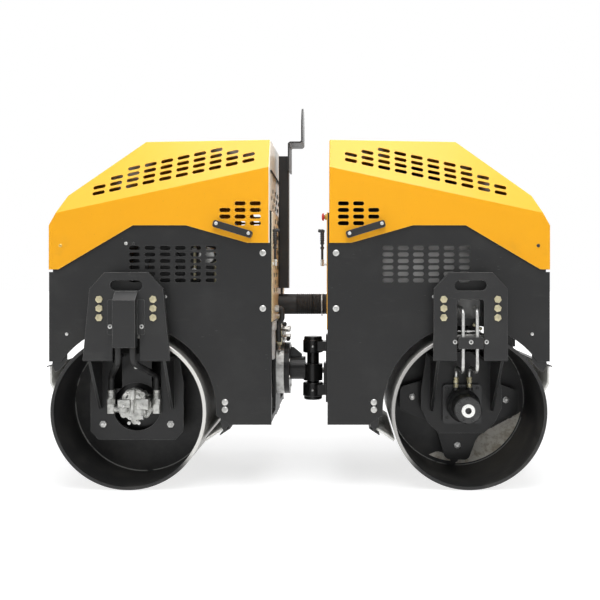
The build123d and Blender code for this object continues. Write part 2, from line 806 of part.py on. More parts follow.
with BuildPart() as engine_cover:
    add(tank_cover.part.rotate(Axis.Z, 180))
    with BuildSketch(Plane.YZ.offset(-inner_x)):
        with Locations((0, cover_bottom - 20)):
            Rectangle(2 * body_half_width, 100)
    extrude(amount=5, both=True, mode=Mode.SUBTRACT)
    with BuildSketch(Plane.YZ.offset(-inner_x)):
        for row in range(10):
            shift = 52 if row % 2 else 0
            for column in range(-2, 3):
                y = column * 104 + shift
                if abs(y) < 250 and (abs(y) > 70 or row > 2):
                    with Locations((y, 715 + 29 * row)):
                        SlotOverall(70, 18)
    extrude(amount=5, both=True, mode=Mode.SUBTRACT)

with BuildPart() as hood_handles:
    lift = Plane(
        origin=(handle_centre[0], -hood_half_width, handle_centre[1]), x_dir=(
            cos(radians(handle_slope)), 0, sin(radians(handle_slope))), z_dir=(0, -1, 0),
    )
    with BuildSketch(lift):
        with GridLocations(handle_pitch, 1, 2, 1):
            RectangleRounded(26, 26, 8)
    extrude(amount=handle_stand - 8)
    with BuildSketch(lift.offset(handle_stand - 8)):
        RectangleRounded(handle_pitch + 26, 26, 8)
    extrude(amount=8)
    mirror(about=Plane.XZ)

# ---------------------------------------------------------------- masses inside
box_floor = deck_z + plate
tank_half_width = body_half_width - 40
with BuildPart() as water_tank:
    with BuildSketch(Plane.XY.offset(box_floor)):
        with Locations((tank_x, 0)):
            RectangleRounded(tank_length, 2 * tank_half_width, 25)
    extrude(amount=tank_height)
    with BuildSketch(Plane.XY.offset(box_floor + tank_wall)):
        with Locations((tank_x, 0)):
            RectangleRounded(tank_length - 2 * tank_wall, 2 * (tank_half_width - tank_wall), 19)
    extrude(amount=tank_height - 2 * tank_wall, mode=Mode.SUBTRACT)
    with BuildSketch(Plane.XY.offset(box_floor + tank_height - 2 * tank_wall)):
        with Locations((filler[0], 0)):
            Circle(filler[1])
    extrude(amount=4 * tank_wall, mode=Mode.SUBTRACT)

with BuildPart() as engine_block:
    with BuildSketch(Plane.XY.offset(box_floor)):
        with Locations((-engine_x, 0)):
            RectangleRounded(engine_length, 400, 10)
    extrude(amount=engine_length)

# oil filter under the engine half's floor plate, seen through the open bulkhead
with BuildPart() as oil_filter:
    with BuildSketch(Plane.XY.offset(deck_z - 32)):
        with Locations(filter_place):
            Circle(filter_radius + 5)
    extrude(amount=32)
    with BuildSketch(Plane.XY.offset(filter_bottom)):
        with Locations(filter_place):
            Circle(filter_radius)
    extrude(amount=deck_z - 32 - filter_bottom)
    fillet(oil_filter.faces().sort_by(Axis.Z)[0].edges(), 8)

# ---------------------------------------------------------------- oscillation bearing and knuckle
swing_plane = Plane(origin=(0, 0, swing_z), x_dir=(0, 1, 0), z_dir=(1, 0, 0))
with BuildPart() as oscillation_bearing:
    with BuildSketch(swing_plane.offset(-inner_x)):
        Circle(flange_radius)
        Circle(spindle_radius + running_gap, mode=Mode.SUBTRACT)
    extrude(amount=inner_x + flange_x[0] - seat_gap)

lever_point = (
    pivot_x - lever_radius * sin(radians(lever_turn)),
    lever_radius * cos(radians(lever_turn)),
)
with BuildPart() as steering_knuckle:
    with BuildSketch(swing_plane.offset(flange_x[0])):
        Circle(flange_radius)
    extrude(amount=flange_x[1] - flange_x[0])
    with BuildSketch(swing_plane.offset(-inner_x + seat_gap)):
        Circle(spindle_radius)
    extrude(amount=inner_x + flange_x[0])
    with BuildSketch(swing_plane.offset(flange_x[1])):
        Circle(hub_outer)
    extrude(amount=pivot_x - 30 - flange_x[1])
    with BuildSketch(Plane.XY.offset(knuckle_boss[0])):
        with Locations((pivot_x, 0)):
            Circle(knuckle_radius)
    extrude(amount=knuckle_boss[1] - knuckle_boss[0])
    with BuildSketch(Plane.XY.offset(lower_housing[0] + 8)):
        with Locations((pivot_x, 0)):
            Circle(pin_radius)
    extrude(amount=upper_housing[1] - lower_housing[0] - 16)
    # gusset over the hub
    with BuildSketch(Plane.XZ.offset(-6)):
        with BuildLine():
            Polyline((flange_x[1], 440), (flange_x[1], 484), (-40, 484), (-6, 456), (-6, 440), close=True)
        make_face()
    extrude(amount=12)
    # forked steering lever with its pin
    for z in (cylinder_z + eye_height / 2 + 1, cylinder_z - eye_height / 2 - 13):
        with BuildSketch(Plane.XY.offset(z)):
            with BuildLine():
                Polyline((pivot_x - 34, 0), (lever_point[0] - 22, lever_point[1]),
                         (lever_point[0] + 22, lever_point[1]), (pivot_x + 34, 0), close=True)
            make_face()
            with Locations(lever_point):
                Circle(22)
        extrude(amount=12)
    with BuildSketch(Plane.XY.offset(cylinder_z - eye_height / 2 - 18)):
        with Locations(lever_point):
            Circle(lever_pin)
    extrude(amount=eye_height + 36)

# ---------------------------------------------------------------- steering yoke on the tank half
cap_radius, cap_height = housing_cap
yoke_plate_x = inner_x - 12
with BuildPart() as steering_yoke:
    # housing from, housing to, cap from, ear from, ear to
    for z0, z1, cap, e0, e1 in (
        (upper_housing[0], upper_housing[1] - cap_height, upper_housing[1] - cap_height, 470, 508),
        (lower_housing[0] + cap_height, lower_housing[1], lower_housing[0], 296, 336),
    ):
        with BuildSketch(Plane.XY.offset(z0)):
            with Locations((pivot_x, 0)):
                Circle(housing_radius)
        extrude(amount=z1 - z0)
        with BuildSketch(Plane.XY.offset(cap)):
            with Locations((pivot_x, 0)):
                Circle(cap_radius)
        extrude(amount=cap_height)
        with BuildSketch(Plane.XY.offset(e0)):
            with Locations(((pivot_x + inner_x) / 2, 0)):
                Rectangle(inner_x - pivot_x, 70)
        extrude(amount=e1 - e0)
    # stop block behind the knuckle's boss
    stop_x = pivot_x + knuckle_radius + moving_gap
    with BuildSketch(Plane.XY.offset(lower_housing[1] - 10)):
        with Locations(((stop_x + inner_x) / 2, 0)):
            Rectangle(inner_x - stop_x, 60)
    extrude(amount=knuckle_boss[1] + 4 - lower_housing[1] + 10)
    with BuildSketch(Plane.XY.offset(lower_housing[0] + 6)):
        with Locations((pivot_x, 0)):
            Circle(pin_radius + running_gap)
    extrude(amount=upper_housing[1] - lower_housing[0] - 12, mode=Mode.SUBTRACT)
    with BuildSketch(Plane.YZ.offset(yoke_plate_x)):
        with Locations((0, swing_z)):
            RectangleRounded(72, 270, 10)
    extrude(amount=inner_x - yoke_plate_x)
    ends = (upper_housing[1], lower_housing[0])
    rims = steering_yoke.edges().filter_by(GeomType.CIRCLE).filter_by(lambda e: e.length > 200)
    rims = rims.filter_by(lambda e: e.radius > cap_radius + 1 or min(abs(e.center().Z - z) for z in ends) < 0.1)
    chamfer(rims, 3)

# ---------------------------------------------------------------- steering cylinder
eye_point = (lever_point[0], lever_point[1] - eye_shift)
rod_run = Vector(eye_point[0] - cylinder_base[0], eye_point[1] - cylinder_base[1], 0)
rod_plane = Plane(origin=(*cylinder_base, cylinder_z), x_dir=(0, 0, 1), z_dir=rod_run)
reach = rod_run.length
barrel_end = reach * 0.62
with BuildPart() as steering_barrel:
    with BuildSketch(rod_plane.offset(22)):
        Circle(barrel_radius)
    extrude(amount=barrel_end - 22)
    with BuildSketch(Plane.XY.offset(cylinder_z - eye_height / 2)):
        with Locations(cylinder_base):
            Circle(24)
    extrude(amount=eye_height)
    with BuildSketch(Plane.XY.offset(cylinder_z - 40)):
        with Locations(cylinder_base):
            Circle(lever_pin + running_gap)
    extrude(amount=80, mode=Mode.SUBTRACT)
    with BuildSketch(rod_plane.offset(reach * 0.2)):
        Circle(rod_radius + running_gap)
    extrude(amount=barrel_end + 1 - reach * 0.2, mode=Mode.SUBTRACT)

with BuildPart() as steering_rod:
    with BuildSketch(rod_plane.offset(reach * 0.41)):
        Circle(rod_radius)
    extrude(amount=reach * 0.59 - eye_bore - 2)
    with BuildSketch(Plane.XY.offset(cylinder_z - eye_height / 2)):
        with Locations(eye_point):
            Circle(eye_radius)
            Circle(eye_bore, mode=Mode.SUBTRACT)
    extrude(amount=eye_height)

# ---------------------------------------------------------------- mast, fittings, sleeve
with BuildPart() as signal_mast:
    with BuildSketch(Plane.XY.offset(mast_z[0])):
        with Locations((mast_foot_x - mast_width / 2, 0)):
            RectangleRounded(mast_width, 60, 4)
    extrude(amount=mast_z[1] - mast_z[0])
    with BuildSketch(Plane.XY.offset(mast_z[0] + 8)):
        with Locations((-inner_x + 3.75, 0)):
            Rectangle(1.5, 50)
    extrude(amount=260)
    # cranked flat bar, standing on the post's side
    with BuildSketch(Plane.XZ) as bar_edge:
        with BuildLine():
            FilletPolyline(
                (mast_foot_x + bar_wall / 2, bar_foot),
                (mast_foot_x + bar_wall / 2, bar_step),
                (-bar_wall / 2, bar_step),
                (-bar_wall / 2, bar_top),
                radius=bar_bend,
            )
            offset(amount=bar_wall / 2)
        make_face()
    extrude(amount=bar_width / 2, both=True)
    with BuildSketch(Plane.YZ.offset(-40)):
        with Locations((0, bar_top)):
            Rectangle(bar_width + 20, bar_width)
        with Locations((0, bar_top - bar_width / 2)):
            Circle(bar_width / 2, mode=Mode.SUBTRACT)
    extrude(amount=60, mode=Mode.SUBTRACT)

fittings_z = swing_z + flange_radius + moving_gap + 33.5
with BuildPart() as hydraulic_fittings:
    with BuildSketch(Plane.YZ.offset(-inner_x)):
        with Locations((-20, fittings_z)):
            RectangleRounded(110, 66, 6)
    extrude(amount=30)
    with BuildSketch(Plane.YZ.offset(-inner_x + 30)):
        with Locations((-20, fittings_z)):
            with GridLocations(50, 32, 2, 2):
                RegularPolygon(12, 6)
    extrude(amount=20)

with BuildPart() as engine_hose_sleeve:
    with BuildSketch(Plane.YZ.offset(-inner_x + 3)):
        with Locations((0, sleeve_z)):
            Circle(sleeve_radius)
    extrude(amount=pivot_x + inner_x - 3 - seat_gap)

with BuildPart() as tank_hose_sleeve:
    with BuildSketch(Plane.YZ.offset(pivot_x)):
        with Locations((0, sleeve_z)):
            Circle(sleeve_radius)
    extrude(amount=inner_x - 3 - pivot_x)

# ---------------------------------------------------------------- files
write_both(side_panels.part, "side_panels")
write_both(drum_shell.part, "drum_shell")
write_both(drum_spider.part, "drum_spider")
write_both(drum_buffers.part, "drum_buffers")
write_both(vibration_mount.part, "vibration_mount")
write_both(vibration_motor.part, "vibration_motor")
write_both(vibration_hoses.part, "vibration_hoses")
write_both(drive_motor.part, "drive_motor")
write_both(drive_pipes.part, "drive_pipes")
write_both(drum_brackets.part, "drum_brackets")
write_both(line_guards.part, "line_guards")
write_both(scraper_holders.part, "scraper_holders")
write_both(scraper_blades.part, "scraper_blades")
write_both(hood_handles.part, "hood_handles")
write(chassis.part.rotate(Axis.Z, 180), "engine_chassis")
write(tank_chassis.part, "tank_chassis")
write(plain_hood.part, "tank_hood_shell")
write(engine_hood.part, "engine_hood_shell")
write(tank_cover.part, "tank_inner_cover")
write(engine_cover.part, "engine_inner_cover")
write(water_tank.part, "water_tank")
write(engine_block.part, "engine_block")
write(oil_filter.part, "oil_filter")
write(oscillation_bearing.part, "oscillation_bearing")
write(steering_knuckle.part, "steering_knuckle")
write(steering_yoke.part, "steering_yoke")
write(steering_barrel.part, "steering_barrel")
write(steering_rod.part, "steering_rod")
write(signal_mast.part, "signal_mast")
write(hydraulic_fittings.part, "hydraulic_fittings")
write(engine_hose_sleeve.part, "engine_hose_sleeve")
write(tank_hose_sleeve.part, "tank_hose_sleeve")
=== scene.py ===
import math
import bpy
import bmesh
from mathutils import Matrix, Vector


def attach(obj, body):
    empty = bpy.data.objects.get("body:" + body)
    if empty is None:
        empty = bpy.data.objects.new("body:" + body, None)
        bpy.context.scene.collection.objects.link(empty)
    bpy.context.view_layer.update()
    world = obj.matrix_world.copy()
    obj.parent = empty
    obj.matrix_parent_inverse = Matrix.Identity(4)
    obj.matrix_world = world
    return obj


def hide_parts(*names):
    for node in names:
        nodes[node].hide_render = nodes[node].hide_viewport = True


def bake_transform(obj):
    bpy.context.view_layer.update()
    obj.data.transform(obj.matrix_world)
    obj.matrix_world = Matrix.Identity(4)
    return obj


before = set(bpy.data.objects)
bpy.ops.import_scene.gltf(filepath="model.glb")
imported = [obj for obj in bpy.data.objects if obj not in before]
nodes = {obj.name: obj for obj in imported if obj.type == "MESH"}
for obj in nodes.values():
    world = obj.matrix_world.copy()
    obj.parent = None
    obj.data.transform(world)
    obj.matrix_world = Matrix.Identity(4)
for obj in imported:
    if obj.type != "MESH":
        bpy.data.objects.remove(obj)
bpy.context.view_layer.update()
print("frame loaded", len(nodes), "nodes")

# places that many pieces share: the axle, and how far the walls stand from the middle
machine = {"axleX": 0.613, "axleZ": 0.28, "panelY": 0.310, "bracketY": 0.377, "hoodY": 0.344}

# camera
cameraView = {"place": (0.162, -3.35, 0.784), "lens": 50.14, "shiftX": -0.0733, "shiftY": -0.0467}
bpy.ops.object.camera_add(location=cameraView["place"], rotation=(math.radians(90), 0, 0))
camera = bpy.context.object
camera.data.lens = cameraView["lens"]
camera.data.sensor_width = 36
camera.data.shift_x = cameraView["shiftX"]
camera.data.shift_y = cameraView["shiftY"]
camera.data.clip_end = 60
bpy.context.scene.camera = camera
bpy.context.scene.view_settings.view_transform = "Standard"


def paired(kind, flipped=False):  # maths on two numbers
    def apply(self, other):
        return self.kit.add("ShaderNodeMath", {"operation": kind}, [other, self] if flipped else [self, other])
    return apply


def single(kind):  # maths on one number
    return lambda self: self.kit.add("ShaderNodeMath", {"operation": kind}, [self])


class Wire:  # a socket that can be added, multiplied and compared
    def __init__(self, kit, socket):
        self.kit = kit
        self.socket = socket

    __add__, __radd__ = paired("ADD"), paired("ADD", True)
    __sub__, __rsub__ = paired("SUBTRACT"), paired("SUBTRACT", True)
    __mul__, __rmul__ = paired("MULTIPLY"), paired("MULTIPLY", True)
    __pow__ = paired("POWER")
    __gt__, __lt__ = paired("GREATER_THAN"), paired("LESS_THAN")
    __abs__, root, sign = single("ABSOLUTE"), single("SQRT"), single("SIGN")
    least, most = paired("MINIMUM"), paired("MAXIMUM")
    angle = paired("ARCTAN2")  # of the point whose other coordinate is given


class Graph:  # a node tree and what is added to it
    def __init__(self, tree):
        self.tree = tree

    def add(self, kind, settings, links, output=0):
        node = self.tree.nodes.new(kind)
        for key, value in settings.items():
            setattr(node, key, value)
        items = links.items() if isinstance(links, dict) else enumerate(links)
        for key, value in items:
            if isinstance(value, Wire):
                self.tree.links.new(value.socket, node.inputs[key])
            elif value is not None:
                node.inputs[key].default_value = value
        return Wire(self, node.outputs[output])

    def split(self, wire):  # its three numbers
        first = self.add("ShaderNodeSeparateXYZ", {}, [wire])
        return [Wire(self, output) for output in first.socket.node.outputs]

    def band(self, value, low, high):  # 0 below low, 1 above high
        return self.add(
            "ShaderNodeMapRange", {"interpolation_type": "SMOOTHSTEP"},
            {"Value": value, "From Min": low, "From Max": high, "To Min": 0.0, "To Max": 1.0},
        )


class Finish(Graph):  # one material and its nodes
    def __init__(self, name, metallic=0.0, roughness=0.5, **fixed):
        self.material = bpy.data.materials.new(name)
        self.material.use_nodes = True
        super().__init__(self.material.node_tree)
        self.shader = self.tree.nodes["Principled BSDF"]
        self.shader.inputs["Metallic"].default_value = metallic
        self.shader.inputs["Roughness"].default_value = roughness
        for key, value in fixed.items():
            self.shader.inputs[key.replace("_", " ")].default_value = value
        self.place = self.add("ShaderNodeTexCoord", {}, [], "Object")
        self.x, self.y, self.z = self.split(self.place)

    def facing(self):  # the surface's own direction, as three numbers
        return self.split(self.add("ShaderNodeTexCoord", {}, [], "Normal"))

    def noise(self, scale, detail=4, roughness=0.55, stretch=None):
        spot = self.place
        if stretch:
            spot = self.add("ShaderNodeMapping", {}, {"Vector": spot, "Scale": stretch})
        links = {"Vector": spot, "Scale": scale, "Detail": detail, "Roughness": roughness}
        return self.add("ShaderNodeTexNoise", {}, links)

    def blend(self, mask, a, b):  # a where the mask is 0, b where it is 1
        return self.add(
            "ShaderNodeMix", {"data_type": "RGBA", "clamp_factor": True},
            {0: mask, 6: self.colour(a), 7: self.colour(b)}, 2,
        )

    def colour(self, value):
        return value if isinstance(value, Wire) else (*value, 1)

    def edge(self, radius):  # 1 on worn corners
        rounded = self.add("ShaderNodeBevel", {"samples": 4}, {"Radius": radius})
        flat = self.add("ShaderNodeNewGeometry", {}, [], "Normal")
        across = self.add("ShaderNodeVectorMath", {"operation": "DOT_PRODUCT"}, [rounded, flat], "Value")
        return 1 - across

    def bump(self, height, strength, distance, under=None):
        links = {"Strength": strength, "Distance": distance, "Height": height}
        if under is not None:
            links["Normal"] = under
        return self.add("ShaderNodeBump", {}, links)

    def fromAxle(self):  # along, up and radius, measured from the nearer drum's axle
        along = abs(self.x) - machine["axleX"]
        up = self.z - machine["axleZ"]
        return along, up, (along * along + up * up).root()

    def wire(self, **sockets):
        for key, value in sockets.items():
            self.tree.links.new(value.socket, self.shader.inputs[key.replace("_", " ")])

    def paint(self, *names):
        for name in names:
            nodes[name].data.materials.clear()
            nodes[name].data.materials.append(self.material)


def twins(*names):
    return [f"{half}_{name}" for half in ("engine", "tank") for name in names]


def yellowEnamel(name="yellowEnamel", paintedGlareEnd=False):
    look = {"base": (0.93, 0.405, 0.004), "pale": (0.95, 0.45, 0.010), "paintedTopLight": (0.97, 0.60, 0.07),
            "grime": (0.42, 0.2, 0.03), "bareAndSheen": (0.96, 0.66, 0.22), "paintedGlare": (0.93, 0.89, 0.77),
            "upward": (0.22, 0.42), "dirtLine": (0.97, 0.80), "paintedGlareFrom": (0.1125, 0.1105)}
    f = Finish(name, roughness=0.34, Specular_IOR_Level=0.25, Coat_Weight=0.32, Coat_Roughness=0.2)
    cloud = f.noise(3.2, 3)
    fine = f.noise(60, 3)
    # lighter edges: partly real wear, partly painted highlight
    wornAndSheen = f.band(f.edge(0.0035) + f.noise(35, 5) * 0.10, 0.16, 0.26)
    tone = f.blend(cloud, look["base"], look["pale"])
    # painted highlight: faces that look up are painted paler, where the top light falls
    tone = f.blend(f.band(f.facing()[2], *look["upward"]) * 0.8, tone, look["paintedTopLight"])
    low = f.band(f.z, *look["dirtLine"]) * f.band(f.noise(14, 5), 0.5, 0.75) * 0.22
    specks = f.band(f.noise(240, 2), 0.70, 0.76) * 0.35
    tone = f.blend(low.most(specks), tone, look["grime"])
    tone = f.blend(wornAndSheen * 0.55, tone, look["bareAndSheen"])
    # painted glare: the engine hood's inner end wall, facing the lit gap, is painted cream
    if paintedGlareEnd:
        tone = f.blend(f.band(abs(f.x), *look["paintedGlareFrom"]), tone, look["paintedGlare"])
    peel = f.bump(f.noise(420, 2), 0.05, 0.0004)
    f.wire(Base_Color=tone, Roughness=0.28 + fine * 0.14 + low * 0.6, Normal=f.bump(cloud, 0.05, 0.004, peel))
    return f


def paintedGlareWall():
    # painted glare and shade: the yellow inner cover is painted cream, and darker towards the bottom where it lies
    # in shade
    look = {"base": (0.92, 0.85, 0.66), "shade": (0.74, 0.58, 0.33), "shadeLine": (0.98, 0.78)}
    f = Finish("paintedGlareWall", roughness=0.42)
    drop = f.band(f.z, *look["shadeLine"])
    tone = f.blend((drop * 0.85 + f.noise(9, 4) * 0.3).least(1.0), look["base"], look["shade"])
    f.wire(Base_Color=tone, Normal=f.bump(f.noise(300, 2), 0.06, 0.0005))
    return f


def blackPowder(name="blackPowder", base=0.015, scuff=0.034, rough=0.42, edgeWearAndHighlight=0.16):
    f = Finish(name, roughness=rough, Specular_IOR_Level=0.4)
    cloud = f.noise(5.5, 5, 0.6)
    streak = f.noise(22, 5, 0.6, (0.35, 1, 1.6))
    # lighter edges: partly real wear, partly painted highlight
    wornAndSheen = f.band(f.edge(0.003) + f.noise(50, 5) * 0.10, 0.17, 0.27)
    dust = f.band(cloud, 0.45, 0.72) * 0.45 + f.band(streak, 0.60, 0.74) * 0.35
    tone = f.blend(dust, (base, base, base * 1.01), (scuff, scuff, scuff * 0.97))
    scratch = f.band(f.noise(38, 3, 0.5, (1, 1, 9)), 0.705, 0.725) * f.band(f.noise(4.5, 2), 0.5, 0.62)
    tone = f.blend(scratch * 0.45, tone, (0.17, 0.17, 0.165))
    tone = f.blend(wornAndSheen * 0.6, tone, (edgeWearAndHighlight, edgeWearAndHighlight, edgeWearAndHighlight * 0.96))
    grain = f.bump(f.noise(520, 2), 0.16, 0.0004)
    f.wire(Base_Color=tone, Roughness=rough - 0.05 + dust * 0.22 + f.noise(90, 3) * 0.1, Normal=grain)
    return f


def drumFinish():
    look = {"inside": (0.018, 0.018, 0.018), "dusty": (0.045, 0.043, 0.04), "outer": (0.34, 0.33, 0.31),
            "bright": (0.74, 0.73, 0.70), "shaded": (0.05, 0.05, 0.05), "wornAndSheen": (0.92, 0.88, 0.78),
            "dimReflection": (0.55, 0.48, 0.37), "seam": (0.42, 0.42, 0.40), "rust": (0.30, 0.20, 0.13),
            "rolling": (0.2772, 0.2780), "rim": (0.3462, 0.3475), "seamRadius": 0.2665,
            "drivenWeb": 0.105, "shakenWeb": 0.010}
    f = Finish("drumFinish", roughness=0.45)
    along, up, radius = f.fromAxle()
    depth = f.y * f.x.sign()
    rolling = f.band(radius, *look["rolling"])
    rim = f.band(abs(f.y), *look["rim"])
    hoops = f.noise(30, 4, 0.6, (0.2, 9, 0.2))
    dirt = f.noise(7, 5, 0.6)
    # painted highlight: the rim is painted bright toward the top and the machine's middle
    paintedHighlight = f.band(up * 0.5 - along * 0.9 + dirt * 0.05, 0.07, 0.17)
    # real wear on the rolling surface, and the rim's painted highlight
    wearAndSheen = (rim * (0.25 + paintedHighlight * 0.75)).most(rolling * 0.9)
    dark = f.blend(f.band(dirt, 0.45, 0.7), look["inside"], look["dusty"])
    # thin bare line where the webs meet the shell
    onWeb = (abs(depth - look["drivenWeb"]) < 0.004) + (abs(depth + look["shakenWeb"]) < 0.004)
    seam = (abs(radius - look["seamRadius"]) < 0.0018) * onWeb
    dark = f.blend(seam * f.band(f.noise(18, 3), 0.36, 0.5) * 0.8, dark, look["seam"])
    # painted reflection: a pale patch on the tank drum's web beside the lower lobe
    turn = up.angle(along)
    ragged = f.noise(48, 5, 0.7) * 0.022
    big = f.band(radius - (turn + 0.908) ** 2 * 0.18 - ragged, 0.160, 0.164) * (radius < 0.260)
    small = f.band(radius - (turn + 1.85) ** 2 * 0.9 - ragged, 0.209, 0.213) * (radius < 0.252)
    paintedReflectionPatch = (big + small) * (abs(depth + look["shakenWeb"]) < 0.002) * (f.x > 0) * (turn < 0)
    bareAndSheen = f.blend(f.band(f.noise(34, 5, 0.65), 0.42, 0.66), look["wornAndSheen"], look["dimReflection"])
    dark = f.blend(paintedReflectionPatch, dark, bareAndSheen)
    steel = f.blend(f.band(hoops, 0.35, 0.7), look["outer"], look["bright"])
    # painted highlight on the rim toward the top and the machine's middle, painted shade on the rest of the rim;
    # weaker on the tank half
    steel = f.blend(rim, steel, f.blend(paintedHighlight * (0.78 - 0.22 * f.x.sign()), look["shaded"], look["bright"]))
    rust = f.band(f.noise(26, 5, 0.65), 0.60, 0.72) * rolling * 0.4
    steel = f.blend(rust, steel, look["rust"])
    f.wire(
        Base_Color=f.blend(wearAndSheen, dark, steel),
        Metallic=wearAndSheen * 0.9,
        Roughness=0.34 + hoops * 0.16 + rust * 0.4,
        Normal=f.bump(hoops * rolling + f.noise(60, 4) * 0.3, 0.12, 0.0012),
    )
    return f


def jointPaint():
    look = {"base": (0.008, 0.008, 0.008), "dusty": (0.032, 0.031, 0.029), "wornAndSheen": (0.2, 0.2, 0.19), "rough": 0.24}
    f = Finish("jointBlack", roughness=look["rough"], Specular_IOR_Level=0.3, Coat_Weight=0.15,
               Coat_Roughness=0.12)
    dirt = f.noise(9, 5, 0.6)
    # lighter edges: partly real wear, partly painted highlight
    wornAndSheen = f.band(f.edge(0.002) + f.noise(60, 4) * 0.1, 0.18, 0.28)
    tone = f.blend(f.band(dirt, 0.5, 0.75) * 0.5, look["base"], look["dusty"])
    tone = f.blend(wornAndSheen * 0.5, tone, look["wornAndSheen"])
    f.wire(Base_Color=tone, Roughness=look["rough"] + dirt * 0.2, Normal=f.bump(f.noise(40, 3), 0.08, 0.002))
    return f


def travelMotorFinish():
    look = {"noseOuter": 0.0243, "noseInner": 0.0118, "noseFrom": 0.3175, "backTo": (0.185, 0.165)}
    f = Finish("travelMotorFinish", roughness=0.3, Coat_Weight=0.3, Coat_Roughness=0.2)
    along, up, radius = f.fromAxle()
    ring = (radius < look["noseOuter"]) * (abs(f.y) > look["noseFrom"]) * (radius > look["noseInner"])
    cast = f.noise(45, 5, 0.6)
    tone = f.blend(f.band(cast, 0.45, 0.7), (0.020, 0.020, 0.020), (0.045, 0.045, 0.043))
    tone = f.blend(f.band(abs(f.y), *look["backTo"]), tone, (0.010, 0.010, 0.011))
    f.wire(
        Base_Color=f.blend(ring, tone, (0.86, 0.86, 0.83)), Metallic=ring * 0.85,
        Roughness=0.32 + cast * 0.15 - ring * 0.12, Normal=f.bump(cast, 0.25, 0.0015),
    )
    return f


def brightMetal(name, base, dull, rough=0.32, metallic=0.85, cast=0.0):
    f = Finish(name, metallic=metallic, roughness=rough)
    cloud = f.noise(55, 5, 0.6)
    tone = f.blend(f.band(cloud, 0.38, 0.72), base, dull)
    grain = f.noise(380 if not cast else 140, 4, 0.6)
    f.wire(Base_Color=tone, Roughness=rough + cloud * 0.16, Normal=f.bump(grain, 0.08 + cast, 0.0008))
    return f


def blackRubber():
    look = {"base": (0.018, 0.018, 0.018), "dusty": (0.06, 0.058, 0.055), "rough": 0.55}
    f = Finish("blackRubber", roughness=look["rough"])
    dust = f.band(f.noise(28, 5, 0.6), 0.5, 0.75)
    f.wire(
        Base_Color=f.blend(dust * 0.6, look["base"], look["dusty"]),
        Roughness=look["rough"] + dust * 0.2, Normal=f.bump(f.noise(260, 3), 0.2, 0.0006),
    )
    return f


def paleBlade():
    f = Finish("paleBlade", roughness=0.5)
    stain = f.band(f.noise(16, 5, 0.65), 0.46, 0.7)
    ends = f.noise(70, 3)
    f.wire(
        Base_Color=f.blend(stain * 0.7, (0.84, 0.84, 0.80), (0.46, 0.45, 0.41)),
        Roughness=0.45 + stain * 0.25, Normal=f.bump(ends, 0.2, 0.0012),
    )
    return f


def tankPlastic():
    f = Finish("tankPlastic", roughness=0.45)
    cloud = f.noise(6, 4)
    f.wire(
        Base_Color=f.blend(f.band(cloud, 0.4, 0.7), (0.62, 0.615, 0.60), (0.46, 0.455, 0.44)),
        Roughness=0.42 + cloud * 0.15, Normal=f.bump(f.noise(180, 3), 0.12, 0.0008),
    )
    return f


yellowEnamel().paint("tank_hood_shell", "tank_inner_cover")
yellowEnamel("yellowEnamelPaintedGlareEnd", True).paint("engine_hood_shell")
paintedGlareWall().paint("engine_inner_cover")
blackPowder().paint(*twins("side_panels", "chassis"), "signal_mast")
bracketBlack = blackPowder("bracketBlack", 0.022, 0.040, 0.38, 0.30)
bracketBlack.paint(*twins("drum_brackets", "line_guards", "scraper_holders", "hood_handles"))
drumFinish().paint(*twins("drum_shell"))
jointPaint().paint(
    *twins("drum_spider", "vibration_mount"), "steering_knuckle", "steering_yoke", "steering_barrel")
travelMotorFinish().paint(*twins("drive_motor"))
silver = brightMetal("silverPlate", (0.70, 0.70, 0.68), (0.50, 0.50, 0.48), 0.28)
silver.paint(*twins("drive_pipes"), "oscillation_bearing")
greySteel = brightMetal("greySteel", (0.52, 0.52, 0.50), (0.30, 0.30, 0.29), 0.34, 0.7)
greySteel.paint("steering_rod")
gold = brightMetal("goldPlate", (0.80, 0.55, 0.16), (0.62, 0.42, 0.12), 0.3, 0.85)
castAlloy = brightMetal("castAlloy", (0.66, 0.66, 0.63), (0.38, 0.38, 0.36), 0.34, 0.8, 0.25)
castAlloy.paint(*twins("vibration_motor"), "hydraulic_fittings")
rubber = blackRubber()
rubber.paint(*twins("vibration_hoses", "drum_buffers", "hose_sleeve"))
paleBlade().paint(*twins("scraper_blades"))
tankPlastic().paint("water_tank", "oil_filter")
brightMetal("engineGrey", (0.10, 0.10, 0.10), (0.05, 0.05, 0.05), 0.5, 0.3, 0.3).paint("engine_block")
zincYellow = brightMetal("zincYellow", (0.66, 0.60, 0.40), (0.46, 0.42, 0.28), 0.36, 0.7)
print("finishes made")


def deselectAll():
    if bpy.context.object and bpy.context.object.mode != "OBJECT":
        bpy.ops.object.mode_set(mode="OBJECT")
    bpy.ops.object.select_all(action="DESELECT")


def objectMode():
    bpy.ops.object.mode_set(mode="OBJECT")


def activate(piece):
    deselectAll()
    piece.select_set(True)
    bpy.context.view_layer.objects.active = piece


def editFaces(piece, pick):  # edit mode with only the faces that pick() takes
    bpy.context.view_layer.objects.active = piece
    bpy.ops.object.mode_set(mode="EDIT")
    bpy.ops.mesh.select_mode(type="FACE")
    bpy.ops.mesh.select_all(action="DESELECT")
    shape = bmesh.from_edit_mesh(piece.data)
    for face in shape.faces:
        face.select = bool(pick(face))
    shape.select_flush(True)
    bmesh.update_edit_mesh(piece.data)


def startCylinder(radius, depth, sides, centre):
    deselectAll()
    bpy.ops.mesh.primitive_cylinder_add(vertices=sides, radius=radius, depth=depth, location=centre)
    return bpy.context.object


def startBox(size, centre):
    deselectAll()
    bpy.ops.mesh.primitive_cube_add(size=1, location=centre)
    piece = bpy.context.object
    piece.scale = size
    bpy.ops.object.transform_apply(location=False, rotation=False, scale=True)
    return piece


